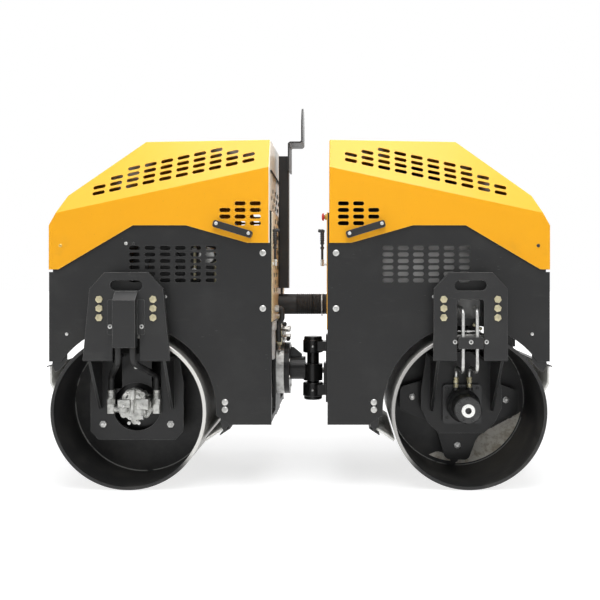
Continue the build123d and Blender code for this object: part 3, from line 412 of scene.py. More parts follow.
def softenEdges(piece, width, segments=2):
    activate(piece)
    modifier = piece.modifiers.new("soften", "BEVEL")
    modifier.width = width
    modifier.segments = segments
    modifier.limit_method = "ANGLE"
    modifier.angle_limit = math.radians(30)
    bpy.ops.object.modifier_apply(modifier=modifier.name)


def extrude(move):
    bpy.ops.mesh.extrude_region_move(TRANSFORM_OT_translate={"value": move})


def dishTop(piece, inset, depth):  # inset the top face and push it down
    top = max(v.co.z for v in piece.data.vertices)
    editFaces(piece, lambda face: face.normal.z > 0.9 and face.calc_center_median().z > top - 1e-5)
    bpy.ops.mesh.inset(thickness=inset, depth=0)
    extrude((0, 0, -depth))
    objectMode()


def frameFaces(piece, axis, *insets):  # inset both faces along an axis, once for each width and depth
    editFaces(piece, lambda face: abs(face.normal[axis]) > 0.9)
    for width, depth in insets:
        bpy.ops.mesh.inset(thickness=width, depth=depth, use_individual=True)
    objectMode()


def joined(parts, name):
    deselectAll()
    for part in parts:
        part.select_set(True)
    bpy.context.view_layer.objects.active = parts[0]
    if len(parts) > 1:
        bpy.ops.object.join()
    piece = bpy.context.view_layer.objects.active
    piece.name = name
    return piece


def copyAt(model, place, facing=None, turn=0.0):  # the model's +Z looks along facing
    piece = model.copy()
    piece.data = model.data.copy()
    bpy.context.scene.collection.objects.link(piece)
    swing = Matrix.Identity(4)
    if facing:
        swing = Vector(facing).to_track_quat("Z", "Y").to_matrix().to_4x4()
    piece.data.transform(Matrix.Translation(Vector(place)) @ swing @ Matrix.Rotation(turn, 4, "Z"))
    return piece


def dress(piece, finish, angle=35):
    activate(piece)
    bpy.ops.object.transform_apply(location=True, rotation=True, scale=True)
    bpy.ops.object.shade_smooth_by_angle(angle=math.radians(angle))
    piece.data.materials.clear()
    piece.data.materials.append(finish.material)


def settle(piece, body, finish):
    dress(piece, finish)
    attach(piece, body)


def settleParts(name, parts, body, finish):
    settle(joined(parts, name), body, finish)


def binned(*models):
    for model in models:
        bpy.data.objects.remove(model)


def turned(profile, sides):  # a solid of rows of height and radius, along +Z
    deselectAll()
    rise, radius = profile[0]
    bpy.ops.mesh.primitive_circle_add(vertices=sides, radius=radius, fill_type="NGON", location=(0, 0, 0))
    piece = bpy.context.object
    bpy.ops.object.mode_set(mode="EDIT")
    bpy.ops.mesh.select_mode(type="EDGE")
    bpy.ops.mesh.select_all(action="SELECT")
    bpy.ops.transform.translate(value=(0, 0, rise))
    for nextRise, nextRadius in profile[1:]:
        extrude((0, 0, nextRise - rise))
        scale = nextRadius / radius
        bpy.ops.transform.resize(value=(scale, scale, 1), center_override=(0, 0, nextRise))
        rise, radius = nextRise, nextRadius
    bpy.ops.mesh.select_all(action="SELECT")
    bpy.ops.mesh.normals_make_consistent(inside=False)
    objectMode()
    return piece


# bolts, nuts and screws
boltSizes = {
    # radius, height, and the washer's radius where there is one
    "bracketBolt": (0.0122, 0.010, 0.0148), "panelButton": (0.0115, 0.0062), "capScrew": (0.008, 0.008),
    "plateNut": (0.0125, 0.011, 0.019), "motorScrew": (0.0062, 0.0045), "flangeBolt": (0.0058, 0.005, 0.0075),
    "roundHead": (0.0062, 0.0035), "coverBolt": (0.0062, 0.0055),
}


def hexHead(radius, height, washer):
    head = startCylinder(radius * 1.13, height, 6, (0, 0, 0.0025 + height / 2))
    softenEdges(head, radius * 0.12)
    dishTop(head, radius * 0.55, height * 0.16)
    ring = startCylinder(washer, 0.0025, 28, (0, 0, 0.00125))
    softenEdges(ring, 0.0006)
    return joined([head, ring], "hexHead")


def buttonHead(radius, height):
    head = startCylinder(radius, height, 28, (0, 0, height / 2))
    editFaces(head, lambda face: face.normal.z > 0.9)
    for lift in (0.28, 0.12):
        bpy.ops.mesh.inset(thickness=radius * 0.22, depth=0)
        bpy.ops.transform.translate(value=(0, 0, height * lift))
    bpy.ops.mesh.inset(thickness=radius * 0.12, depth=0)
    extrude((0, 0, -height * 0.7))
    objectMode()
    return head


def capHead(radius, height):
    head = startCylinder(radius, height, 24, (0, 0, height / 2))
    softenEdges(head, radius * 0.12)
    dishTop(head, radius * 0.42, height * 0.55)
    return head


def washerNut(radius, height, washer):  # washer, nut and the stud's end
    ring = turned([(0, washer - 0.001), (0, washer), (0.0022, washer), (0.003, washer - 0.0012)], 28)
    nut = startCylinder(radius * 1.13, height, 6, (0, 0, 0.003 + height / 2))
    softenEdges(nut, radius * 0.12)
    stud = turned([(0.002, radius * 0.58), (height + 0.0055, radius * 0.58), (height + 0.007, radius * 0.46)], 18)
    return joined([nut, ring, stud], "washerNut")


bracketBolt = hexHead(*boltSizes["bracketBolt"])
panelButton = buttonHead(*boltSizes["panelButton"])
capScrew = capHead(*boltSizes["capScrew"])
plateNut = washerNut(*boltSizes["plateNut"])
motorScrew = capHead(*boltSizes["motorScrew"])
flangeBolt = hexHead(*boltSizes["flangeBolt"])
roundHead = buttonHead(*boltSizes["roundHead"])
fit = {
    # across and up, from the middle of the machine and the floor
    "panelButtons": ((0.133, 0.850), (0.133, 0.648), (0.271, 0.307), (0.271, 0.280)),
    "panelBolts": ((0.8465, 0.553), (0.488, 0.689)),
    "engineBright": ((0.631, 0.886),), "engineDark": ((0.604, 0.886),),
    "handleScrews": ((0.182, 0.9215), (0.2985, 0.957)),
    "hoodCorner": (0.867, 0.318, 0.878),
    # across from the axle, and up from the floor
    "bracketAcross": (-0.096, 0.096), "bracketRows": (0.679, 0.647, 0.614),
    "guardAcross": (-0.056, 0.056), "guardDepth": 0.380, "guardHeight": 0.586,
    "pipeClamp": ((-0.056, 0.377), (0.056, 0.377), (0.0, 0.385)), "pipeClampHeight": 0.531,
    # rings round the axle: radius, then how far from the middle of the machine
    "buffers": (0.146, 0.220), "bufferAngles": (90, 210, 330), "bufferDrop": 0.001,
    "noseScrews": (0.0415, 0.3178), "spiderNuts": (0.184, 0.070),
    "motorAcross": (-0.058, 0.058), "motorUp": (-0.055, 0.058), "motorDepth": 0.161,
}


def row(model, spots, side, depth, sign=1):  # copies on a wall facing side, at (x, z)
    places = [(sign * x, side * depth, z) for x, z in spots]
    return [copyAt(model, place, (0, side, 0), 0.7 * i) for i, place in enumerate(places)]


def ringSpot(axleX, side, ring, turn):  # a point of a ring round the axle
    radius, depth = ring
    return (axleX + radius * math.cos(turn), side * depth, machine["axleZ"] + radius * math.sin(turn))


for half, sign in (("engine", -1), ("tank", 1)):
    frameBody = f"{half}_frame"
    axleX = sign * machine["axleX"]
    bright, pale, plain, dark = [], [], [], []
    for side in (-1, 1):
        for across in fit["bracketAcross"]:
            for height in fit["bracketRows"]:
                turn = 50 * height + 20 * across + side  # each bolt stops at its own angle
                place = (axleX + across, side * machine["bracketY"], height)
                pale.append(copyAt(bracketBolt, place, (0, side, 0), turn))
        bright += row(panelButton, fit["panelButtons"], side, machine["panelY"], sign)
        plain += row(flangeBolt, fit["panelBolts"], side, machine["panelY"], sign)
    shaken = sign  # the shaken side is at +Y on the tank half and at -Y on the engine half
    driven = -shaken
    for degrees in fit["bufferAngles"]:
        turn = math.radians(degrees)
        x, y, z = ringSpot(axleX, shaken, fit["buffers"], turn)
        plain.append(copyAt(plateNut, (x, y, z - fit["bufferDrop"]), (0, shaken, 0), turn))
    for across in fit["guardAcross"]:
        place = (axleX + across, shaken * fit["guardDepth"], fit["guardHeight"])
        bright.append(copyAt(capScrew, place, (0, shaken, 0)))
    for across, depth in fit["pipeClamp"]:
        place = (axleX + across, driven * depth, fit["pipeClampHeight"])
        bright.append(copyAt(capScrew, place, (0, driven, 0)))
    for step in range(7):
        turn = math.radians(90 + 360 / 7 * step)
        dark.append(copyAt(motorScrew, ringSpot(axleX, driven, fit["noseScrews"], turn), (0, driven, 0)))
    for across in fit["motorAcross"]:
        for up in fit["motorUp"]:
            place = (axleX + across, driven * fit["motorDepth"], machine["axleZ"] + up)
            dark.append(copyAt(motorScrew, place, (0, driven, 0)))
    if half == "engine":
        bright += row(roundHead, fit["engineBright"], -1, machine["panelY"], sign)
        dark += row(roundHead, fit["engineDark"], -1, machine["panelY"], sign)
    settleParts(f"{half}BracketBolts", pale, frameBody, zincYellow)
    settleParts(f"{half}PanelButtons", bright, frameBody, silver)
    settleParts(f"{half}PlateNuts", plain, frameBody, silver)
    settleParts(f"{half}MotorScrews", dark, frameBody, bracketBlack)
    spiderNuts = []
    for step in range(4):
        turn = math.radians(-2 + 90 * step)
        spot = ringSpot(axleX, driven, fit["spiderNuts"], turn)
        spiderNuts.append(copyAt(plateNut, spot, (0, driven, 0), step * 0.4))
    settleParts(f"{half}SpiderNuts", spiderNuts, f"{half}_drum", silver)
    x, y, z = fit["hoodCorner"]
    corners = [copyAt(roundHead, (sign * x, side * y, z), (0, side, 0)) for side in (-sign, sign)]
    settleParts(f"{half}CornerBolts", corners, f"{half}_hood", gold if sign < 0 else bracketBlack)
    handleScrews = []
    for side in (-1, 1):
        handleScrews += row(roundHead, fit["handleScrews"], side, machine["hoodY"], sign)
    settleParts(f"{half}HandleScrews", handleScrews, f"{half}_hood", silver)
binned(bracketBolt, panelButton, capScrew, plateNut, motorScrew, roundHead)
print("fasteners placed")

# hose sleeve between the halves, in two pieces that meet at the knuckle
sleeve = {"z": 0.656, "radius": 0.0425, "groove": 0.0395, "smooth": 0.0408, "from": -0.0985, "to": 0.0985,
          "ribsFrom": -0.030, "ribsTo": 0.080, "pitch": 0.0079, "split": 0.038, "lip": 0.003, "step": 0.008}


def sleevePart(start, end, name):  # ribbed in its middle
    lip = sleeve["smooth"] - sleeve["lip"]
    rows = [(start, lip), (start, sleeve["smooth"])]
    at = start
    while at < end - 1e-6:
        if sleeve["ribsFrom"] < at < sleeve["ribsTo"]:
            step = min(sleeve["pitch"], end - at)
            rows += [(at + step * 0.12, sleeve["groove"]), (at + step * 0.3, sleeve["radius"] - 0.0006),
                     (at + step * 0.5, sleeve["radius"]), (at + step * 0.7, sleeve["radius"] - 0.0006),
                     (at + step * 0.88, sleeve["groove"])]
            at += step
        else:
            at = min(at + sleeve["step"], end)
            rows.append((at, sleeve["smooth"]))
    rows.append((end, lip))
    tube = turned(rows, 48)
    piece = copyAt(tube, (0, 0, sleeve["z"]), (1, 0, 0))
    binned(tube)
    piece.name = name
    dress(piece, rubber, 50)
    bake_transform(piece)
    return piece


engineSleeve = sleevePart(
    sleeve["from"], sleeve["split"] - 0.0002, "sleeveAtEngine")
tankSleeve = sleevePart(sleeve["split"], sleeve["to"], "sleeveAtTank")
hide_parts("engine_hose_sleeve")
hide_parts("tank_hose_sleeve")
print("sleeve made")

clamp = {"x": 0.0715, "inner": 0.0426, "outer": 0.0437, "wide": 0.0046, "box": (0.011, 0.0075, 0.0046)}
ring = turned([(0, clamp["inner"]), (0.0002, clamp["outer"]), (clamp["wide"] - 0.0002, clamp["outer"]),
               (clamp["wide"], clamp["inner"])], 48)
screwBox = startBox(clamp["box"], (0.0, -0.0458, 0.0023))
softenEdges(screwBox, 0.001)
clampRing = joined([ring, screwBox], "sleeveClampModel")
settleParts("sleeveClamp", [copyAt(clampRing, (clamp["x"], 0, sleeve["z"]), (1, 0, 0))],
            "tank_frame", greySteel)
binned(clampRing)

hoodMat = {
    "size": (0.703, 0.008, 0.281), "centre": (0.4865, 0.205, 1.0955), "quilt": ((0.012, 0), (0.004, 0.002)),
    # a point and the outward direction of each cut across the corners
    "cuts": (((0.550, 0, 1.236), (0.19, 0, 0.25)), ((0.800, 0, 1.046), (0.071, 0, 0.038)),
             ((0.780, 0, 0.955), (0.02, 0, -0.058))),
}


def matPiece():  # dark foam sheet with a quilted edge, hung inside the hood
    sheet = startBox(hoodMat["size"], hoodMat["centre"])
    for point, direction in hoodMat["cuts"]:
        editFaces(sheet, lambda face: True)
        bpy.ops.mesh.bisect(plane_co=point, plane_no=direction, use_fill=True, clear_outer=True)
        objectMode()
    frameFaces(sheet, 1, *hoodMat["quilt"])
    sheet.name = "hoodMat"
    return sheet


settle(matPiece(), "tank_hood", rubber)
print("clamp and mat made")

# what shows under the open hoods and through the vents
under = {
    "capPlace": (0.600, 0, 0.896), "coverSize": (0.25, 0.17, 0.036), "coverPlace": (-0.480, 0, 1.005),
    "ribs": 9, "ribPitch": 0.024, "ribSize": (0.006, 0.128, 0.012), "ribHeight": 1.025,
    "cleanerPlace": (-0.420, -0.105, 1.092), "saddleSize": (0.050, 0.120, 0.030),
    "saddlePlace": (-0.420, 0, 1.028), "mufflerPlace": (-0.620, 0.135, 1.035),
    "footSpots": (0.050, 0.140), "shroudPlace": (-0.500, -0.199, 0.800), "oilCanPlace": (-0.345, -0.199, 0.845),
    "banjoSpots": ((-0.394, -0.236, 0.790), (-0.394, -0.236, 0.866)),
    "pipeSpots": ((-0.394, -0.232, 0.752), (-0.320, -0.212, 0.700)),
}
neck = turned([(0, 0.054), (0.002, 0.056), (0.010, 0.056), (0.012, 0.052), (0.013, 0.049), (0.015, 0.0505),
               (0.032, 0.0495), (0.036, 0.045), (0.036, 0.030), (0.033, 0.027)], 40)
grip = startBox((0.060, 0.010, 0.010), (0, 0, 0.0375))
softenEdges(grip, 0.003, 3)
settleParts("tankCap", [copyAt(neck, under["capPlace"]), copyAt(grip, under["capPlace"])],
            "tank_frame", rubber)

rocker = startBox(under["coverSize"], under["coverPlace"])
softenEdges(rocker, 0.010, 4)
dishTop(rocker, 0.014, 0.004)
rockerParts = [rocker]
for step in range(under["ribs"]):
    x = under["coverPlace"][0] + (step - (under["ribs"] - 1) / 2) * under["ribPitch"]
    fin = startBox(under["ribSize"], (x, 0, under["ribHeight"]))
    softenEdges(fin, 0.0018)
    rockerParts.append(fin)
settleParts("rockerCover", rockerParts, "engine_frame", castAlloy)

can = turned([(0, 0.050), (0.004, 0.058), (0.030, 0.060), (0.032, 0.0635), (0.042, 0.0635), (0.044, 0.060),
              (0.150, 0.060), (0.152, 0.0635), (0.160, 0.0635), (0.162, 0.060), (0.196, 0.058), (0.202, 0.048),
              (0.202, 0.020), (0.196, 0.016)], 40)
saddle = startBox(under["saddleSize"], under["saddlePlace"])
softenEdges(saddle, 0.004)
settleParts("airCleaner", [copyAt(can, under["cleanerPlace"], (0, 1, 0)), saddle],
            "engine_frame", bracketBlack)
drum = turned([(0, 0.020), (0.003, 0.034), (0.010, 0.041), (0.020, 0.0425), (0.170, 0.0425), (0.180, 0.041),
               (0.187, 0.034), (0.190, 0.017), (0.215, 0.016), (0.215, 0.013), (0.205, 0.012)], 36)
foot = turned([(0, 0.016), (0.004, 0.016), (0.006, 0.011), (0.052, 0.011)], 20)
x, y, z = under["mufflerPlace"]
mufflerParts = [copyAt(drum, (x, y, z), (1, 0, 0))]
mufflerParts += [copyAt(foot, (x + along, y, z - 0.050)) for along in under["footSpots"]]
settleParts("muffler", mufflerParts, "engine_frame", greySteel)
shroud = turned([(0, 0.132), (0.004, 0.138), (0.026, 0.138), (0.031, 0.131), (0.031, 0.070), (0.026, 0.066),
                 (0.026, 0.040), (0.033, 0.036), (0.036, 0.014)], 44)
settleParts("fanShroud", [copyAt(shroud, under["shroudPlace"], (0, -1, 0))],
            "engine_frame", bracketBlack)
oilCan = turned([(0, 0.030), (0.002, 0.033), (0.060, 0.033), (0.066, 0.028), (0.067, 0.012)], 28)
fuelPipe = turned([(0, 0.0045), (0.002, 0.006), (0.150, 0.006), (0.152, 0.0045)], 14)
banjo = turned([(0, 0.006), (0.001, 0.010), (0.012, 0.010), (0.014, 0.006)], 6)
pumpParts = [copyAt(oilCan, under["oilCanPlace"], (0, -1, 0))]
pumpParts += [copyAt(banjo, spot, (0, -1, 0)) for spot in under["banjoSpots"]]
settleParts("pumpParts", pumpParts, "engine_frame", silver)
settleParts("fuelPipes", [copyAt(fuelPipe, spot) for spot in under["pipeSpots"]],
            "engine_frame", zincYellow)
binned(neck, grip, can, drum, foot, shroud, oilCan, fuelPipe, banjo)
core = {
    "size": (0.020, 0.500, 0.355), "centre": (-0.142, 0, 0.796), "rim": ((0.018, 0), (0.003, -0.004)),
    "fins": 24, "finSize": (0.0165, 0.460, 0.0025), "finFoot": 0.641, "finPitch": 0.0134,
    "screenSize": (0.003, 0.440, 0.110), "screenCentre": (-0.1195, 0, 1.062),
    "screenRim": ((0.010, 0), (0.002, -0.0008)),
}
radiator = startBox(core["size"], core["centre"])
frameFaces(radiator, 0, *core["rim"])
radiatorParts = [radiator]
for step in range(core["fins"]):
    fin = startBox(core["finSize"], (core["centre"][0], 0, core["finFoot"] + step * core["finPitch"]))
    softenEdges(fin, 0.0008, 1)
    radiatorParts.append(fin)
settleParts("radiator", radiatorParts, "engine_frame", rubber)
screen = startBox(core["screenSize"], core["screenCentre"])
frameFaces(screen, 0, *core["screenRim"])
settleParts("endScreen", [screen], "engine_hood", rubber)
print("parts under the hoods made")

# emergency stop and the two valve levers
control = {
    "stop": (0.0985, -0.262, 0.987), "stopCollar": (0.0905, 0.0915),
    "tankLever": (0.081, -0.235, 0.806), "engineLever": (-0.0905, -0.285, 0.806),
    "grip": 0.0078, "gripFoot": 0.092, "gripTop": 0.134, "ribPitch": 0.0078, "bar": 0.0046,
}
stop = turned([(0, 0.010), (0.0005, 0.011), (0.006, 0.011), (0.0065, 0.0075), (0.010, 0.0075), (0.0105, 0.0135),
               (0.0145, 0.0142), (0.0175, 0.0115), (0.0185, 0.006)], 36)
mushroom = copyAt(stop, control["stop"], (-1, 0, 0))
mushroom.name = "emergencyStop"
binned(stop)


def redCap():
    f = Finish("redCap", roughness=0.35)
    collar = f.band(f.x, *control["stopCollar"])
    f.wire(
        Base_Color=f.blend(collar, (0.56, 0.030, 0.016), (0.50, 0.36, 0.05)),
        Roughness=0.3 + f.noise(90, 3) * 0.15, Normal=f.bump(f.noise(200, 3), 0.1, 0.0005),
    )
    return f


settle(mushroom, "tank_frame", redCap())


def leverPiece(foot, sign, name):  # bar, ribbed grip and the cap turned away from the cover
    x, y, z = foot
    grip, bar = control["grip"], control["bar"]
    rows = [(0.024, bar * 0.8), (0.026, bar), (0.062, bar), (0.064, bar * 1.5), (0.070, bar * 1.6), (0.073, bar),
            (0.080, bar), (0.082, bar * 1.7), (0.089, bar * 1.5)]
    at = control["gripFoot"]
    while at < control["gripTop"] - 0.004:
        rows += [(at, grip * 0.82), (at + 0.0022, grip), (at + 0.0052, grip)]
        at += control["ribPitch"]
    rows += [(control["gripTop"], grip * 0.8), (control["gripTop"] + 0.003, grip * 0.4)]
    stem = turned(rows, 20)
    cap = turned([(-0.009, 0.004), (-0.007, 0.006), (0.012, 0.0064), (0.0155, 0.0045)], 18)
    parts = [copyAt(stem, (x, y, z)), copyAt(cap, (x, y, z + control["gripTop"] - 0.004), (-sign, 0, 0.12))]
    binned(stem, cap)
    settleParts(name, parts, "tank_frame" if sign > 0 else "engine_frame", bracketBlack)


def valvePiece(foot, sign, name):  # the hexagon body under the lever and its stub into the cover
    x, y, z = foot
    body = turned([(0, 0.005), (0.0015, 0.0078), (0.013, 0.0078), (0.0145, 0.0055), (0.0165, 0.0055),
                   (0.0175, 0.0072), (0.0235, 0.0072), (0.0245, 0.0055)], 6)
    stub = turned([(0, 0.0042), (0.003, 0.0055), (0.0175, 0.0055)], 18)
    parts = [copyAt(body, (x, y, z)), copyAt(stub, (x, y, z + 0.008), (sign, 0, 0))]
    binned(body, stub)
    settleParts(name, parts, "tank_frame" if sign > 0 else "engine_frame", silver)


leverPiece(control["tankLever"], 1, "valveLeverTank")
leverPiece(control["engineLever"], -1, "valveLeverEngine")
valvePiece(control["tankLever"], 1, "valveBodyTank")
valvePiece(control["engineLever"], -1, "valveBodyEngine")
print("controls made")

# fittings of the pipes and hoses, and the front of the vibration motor
lines = {
    "pipeX": 0.0255, "pipeY": 0.175, "nutFoot": 0.3625, "collarFoot": 0.346,
    "hoseX": (0.092, -0.077), "hoseY": 0.234, "crimpFoot": 0.3145, "swivelFoot": 0.292,
    # the tie, lug and elbow: across from the axle, out from the middle of the machine, up from the floor
    "ends": ((-0.042, 0.338, 0.570), (-0.010, 0.338, 0.570), (0.014, 0.330, 0.595)),
}
pipeNut = turned([(0, 0.0072), (0.001, 0.0098), (0.0115, 0.0098), (0.0125, 0.0082), (0.0145, 0.0082),
                  (0.0155, 0.0104), (0.0215, 0.0104), (0.0228, 0.0072)], 6)
collar = turned([(0, 0.0085), (0.001, 0.0095), (0.0135, 0.0095), (0.0145, 0.0080)], 24)
crimp = turned([(0, 0.0127), (0.001, 0.0138), (0.007, 0.0138), (0.008, 0.0131), (0.010, 0.0131), (0.011, 0.0139),
                (0.017, 0.0139), (0.018, 0.0131), (0.020, 0.0131), (0.021, 0.0138), (0.029, 0.0138),
                (0.030, 0.0127)], 28)
swivel = turned([(0, 0.0125), (0.0015, 0.0168), (0.0185, 0.0168), (0.0205, 0.0130)], 6)
tie = turned([(0, 0.0022), (0.001, 0.0030), (0.083, 0.0030), (0.084, 0.0022)], 14)
lug = turned([(0, 0.004), (0.001, 0.0055), (0.012, 0.0055), (0.013, 0.004)], 6)
elbow = turned([(0, 0.004), (0.001, 0.0062), (0.010, 0.0062), (0.011, 0.0045), (0.030, 0.0045), (0.031, 0.0058),
                (0.037, 0.0058), (0.038, 0.004)], 6)
coverBolt = capHead(*boltSizes["coverBolt"])
frontEnd = {
    # width, height and depth of each block, then its centre across and up
    "blocks": ((0.048, 0.031, 0.040, -0.033, 0.001), (0.046, 0.040, 0.038, 0.033, -0.002),
               (0.054, 0.050, 0.036, 0.011, -0.033), (0.017, 0.038, 0.050, 0.001, 0.035),
               (0.011, 0.060, 0.045, -0.001, -0.004)),
    "lobe": 0.045, "lobeRise": 0.014, "lobeDepth": 0.034, "foot": 0.264, "bodyBolts": (0.051, 0.252),
    # place across, up and out of each screw
    "screws": ((-0.030, 0.013, 0.0415), (0.036, 0.014, 0.0385), (-0.030, -0.0165, 0.036),
               (0.036, -0.028, 0.0365), (-0.0045, -0.030, 0.0455), (-0.009, -0.050, 0.0365),
               (0.027, -0.050, 0.0365), (0.021, 0.047, 0.0345)),
    "ears": ((-0.030, -0.024), (0.036, -0.030), (-0.028, 0.030), (0.034, 0.034)),
}


def motorFrontEnd():  # a webbed casting, looking along +Z
    parts = []
    for width, height, depth, across, up in frontEnd["blocks"]:
        block = startBox((width, height, depth), (across, up, depth / 2))
        editFaces(block, lambda face: face.normal.z > 0.9)
        bpy.ops.mesh.inset(thickness=min(width, height) * 0.12, depth=0)
        bpy.ops.transform.translate(value=(0, 0, 0.0022))
        objectMode()
        softenEdges(block, 0.0016)
        parts.append(block)
    deep, lobe = frontEnd["lobeDepth"], frontEnd["lobe"]
    disc = turned([(0, lobe * 0.96), (0.002, lobe), (deep - 0.004, lobe), (deep - 0.001, lobe * 0.94),
                   (deep, lobe * 0.88), (deep - 0.003, lobe * 0.82), (deep - 0.003, lobe * 0.70),
                   (deep, lobe * 0.66)], 10)
    parts.append(copyAt(disc, (0, frontEnd["lobeRise"], 0)))
    ear = turned([(0, 0.011), (0.031, 0.011), (0.034, 0.0095)], 20)
    parts += [copyAt(ear, (across, up, 0)) for across, up in frontEnd["ears"]]
    binned(disc, ear)
    return joined(parts, "motorFrontEnd")


motorFront = motorFrontEnd()
for half, sign in (("engine", -1), ("tank", 1)):
    axleX = sign * machine["axleX"]
    frameBody = f"{half}_frame"
    shaken, driven = sign, -sign
    fittings, castings, bolts = [], [], []
    for across in (-lines["pipeX"], lines["pipeX"]):
        x, y = axleX + across, driven * lines["pipeY"]
        fittings.append(copyAt(pipeNut, (x, y, lines["nutFoot"]), turn=across * 30))
        fittings.append(copyAt(collar, (x, y, lines["collarFoot"])))
    for across in lines["hoseX"]:
        x, y = axleX + sign * across, shaken * lines["hoseY"]
        castings.append(copyAt(crimp, (x, y, lines["crimpFoot"])))
        castings.append(copyAt(swivel, (x, y, lines["swivelFoot"]), turn=across))
    # the casting looks outward, with its own up as the machine's up
    place = Matrix(((-shaken, 0, 0, axleX), (0, 0, shaken, shaken * frontEnd["foot"]),
                    (0, 1, 0, machine["axleZ"]), (0, 0, 0, 1)))
    castings.append(copyAt(motorFront, (0, 0, 0)))
    castings[-1].data.transform(place)
    for spot in frontEnd["screws"]:
        bolts.append(copyAt(coverBolt, spot))
        bolts[-1].data.transform(place)
    for step in range(6):
        swing = math.radians(30 + 60 * step)
        spot = ringSpot(axleX, shaken, frontEnd["bodyBolts"], swing)
        bolts.append(copyAt(coverBolt, spot, (0, shaken, 0), swing))
    settleParts(f"{half}PipeNuts", fittings, frameBody, zincYellow)
    settleParts(f"{half}MotorCover", castings, frameBody, castAlloy)
    settleParts(f"{half}CoverBolts", bolts, frameBody, silver)
    # clamp ring and the elbow behind the pipes
    tieSpot, lugSpot, elbowSpot = [(axleX + sign * x, driven * y, z) for x, y, z in lines["ends"]]
    clampParts = [copyAt(tie, tieSpot, (sign, 0, 0)), copyAt(lug, lugSpot, (sign, 0, 0))]
    settleParts(f"{half}HoseClamp", clampParts, frameBody, silver)
    elbows = [copyAt(elbow, elbowSpot, (sign * 0.88, 0, -0.47))]
    settleParts(f"{half}PipeElbow", elbows, frameBody, zincYellow)
binned(pipeNut, collar, crimp, swivel, tie, lug, elbow, motorFront)
print("motor fittings made")


def bentHose(points, radius):  # a hose swept through rounded corners
    deselectAll()
    bpy.ops.mesh.primitive_circle_add(vertices=16, radius=radius, fill_type="NGON", location=(0, 0, 0))
    ring = bpy.context.object
    start, ahead = Vector(points[0]), (Vector(points[1]) - Vector(points[0])).normalized()
    ring.data.transform(Matrix.Translation(start) @ ahead.to_track_quat("Z", "Y").to_matrix().to_4x4())
    bpy.ops.object.mode_set(mode="EDIT")
    bpy.ops.mesh.select_all(action="SELECT")
    spots = [Vector(point) for point in points]
    for i in range(1, len(spots)):
        move = spots[i] - spots[i - 1]
        extrude(move)
        if i < len(spots) - 1:
            following = (spots[i + 1] - spots[i]).normalized()
            middle = (move.normalized() + following).normalized()
            swing = ahead.rotation_difference(middle)
            axis, amount = swing.to_axis_angle()
            if amount > 1e-4:
                shape = bmesh.from_edit_mesh(ring.data)
                picked = [vertex for vertex in shape.verts if vertex.select]
                bmesh.ops.rotate(shape, verts=picked, cent=spots[i], matrix=Matrix.Rotation(amount, 3, axis))
                bmesh.update_edit_mesh(ring.data)
            ahead = middle
    bpy.ops.mesh.select_all(action="SELECT")
    bpy.ops.mesh.normals_make_consistent(inside=False)
    objectMode()
    return ring


def rounded(points, radius, steps=5):  # the same path with its corners rounded
    spots = [Vector(point) for point in points]
    path = [spots[0]]
    for i in range(1, len(spots) - 1):
        into, out = (spots[i] - spots[i - 1]).normalized(), (spots[i + 1] - spots[i]).normalized()
        reach = radius * math.tan(into.angle(out) / 2)
        first, last = spots[i] - into * reach, spots[i] + out * reach
        for step in range(steps + 1):
            t = step / steps
            path.append(first * (1 - t) ** 2 + spots[i] * 2 * t * (1 - t) + last * t * t)
    return path + [spots[-1]]


# hydraulic block, bearing flange and what hangs on the engine half's end wall
cluster = {
    "strip": (0.018, 0.003, 0.112), "stripPlace": (-0.090, -0.0777, 0.556),
    "flangeX": -0.0520, "boltRing": 0.085, "boltHeight": 0.401, "blockBolts": ((-0.045, 0.005), (0.5255, 0.5575)),
    "bulkheadNut": (-0.1165, -0.200, 0.646), "hosePath": (
        (-0.084, -0.200, 0.646), (-0.071, -0.200, 0.646), (-0.071, -0.200, 0.609),
        (-0.086, -0.186, 0.590), (-0.086, -0.170, 0.520)), "hoseBend": 0.012, "hoseRadius": 0.0098,
    "stay": (-0.1042, -0.305, 1.154), "stem": (-0.0865, -0.020, 0.6955),
    "grease": (0.038, -0.0398), "greaseHeights": (0.489, 0.316),
    # place and facing of the nipples, the knobs and the pin
    "nipples": (((-0.086, -0.0765, 0.575), (0.2, -1, 0)), ((-0.080, -0.0765, 0.530), (0.6, -0.6, 0)),
                ((-0.070, -0.0765, 0.520), (0.3, -1, 0.2)), ((-0.088, -0.0765, 0.594), (-0.1, -1, 0.2)),
                ((-0.092, -0.0780, 0.497), (0, -0.4, -1))),
    "knobs": (((-0.079, -0.080, 0.580), (1, -0.15, 0)), ((-0.064, -0.082, 0.5235), (0.8, -0.6, 0))),
    "pin": ((-0.084, -0.081, 0.557), (1, 0, 0)),
}
bracketStrip = startBox(cluster["strip"], cluster["stripPlace"])
softenEdges(bracketStrip, 0.0012)
editFaces(bracketStrip, lambda face: face.normal.y < -0.9 and face.calc_area() > 0.0005)
bpy.ops.mesh.inset(thickness=0.003, depth=-0.0006)
objectMode()
settleParts("fittingBracket", [bracketStrip], "engine_frame", zincYellow)

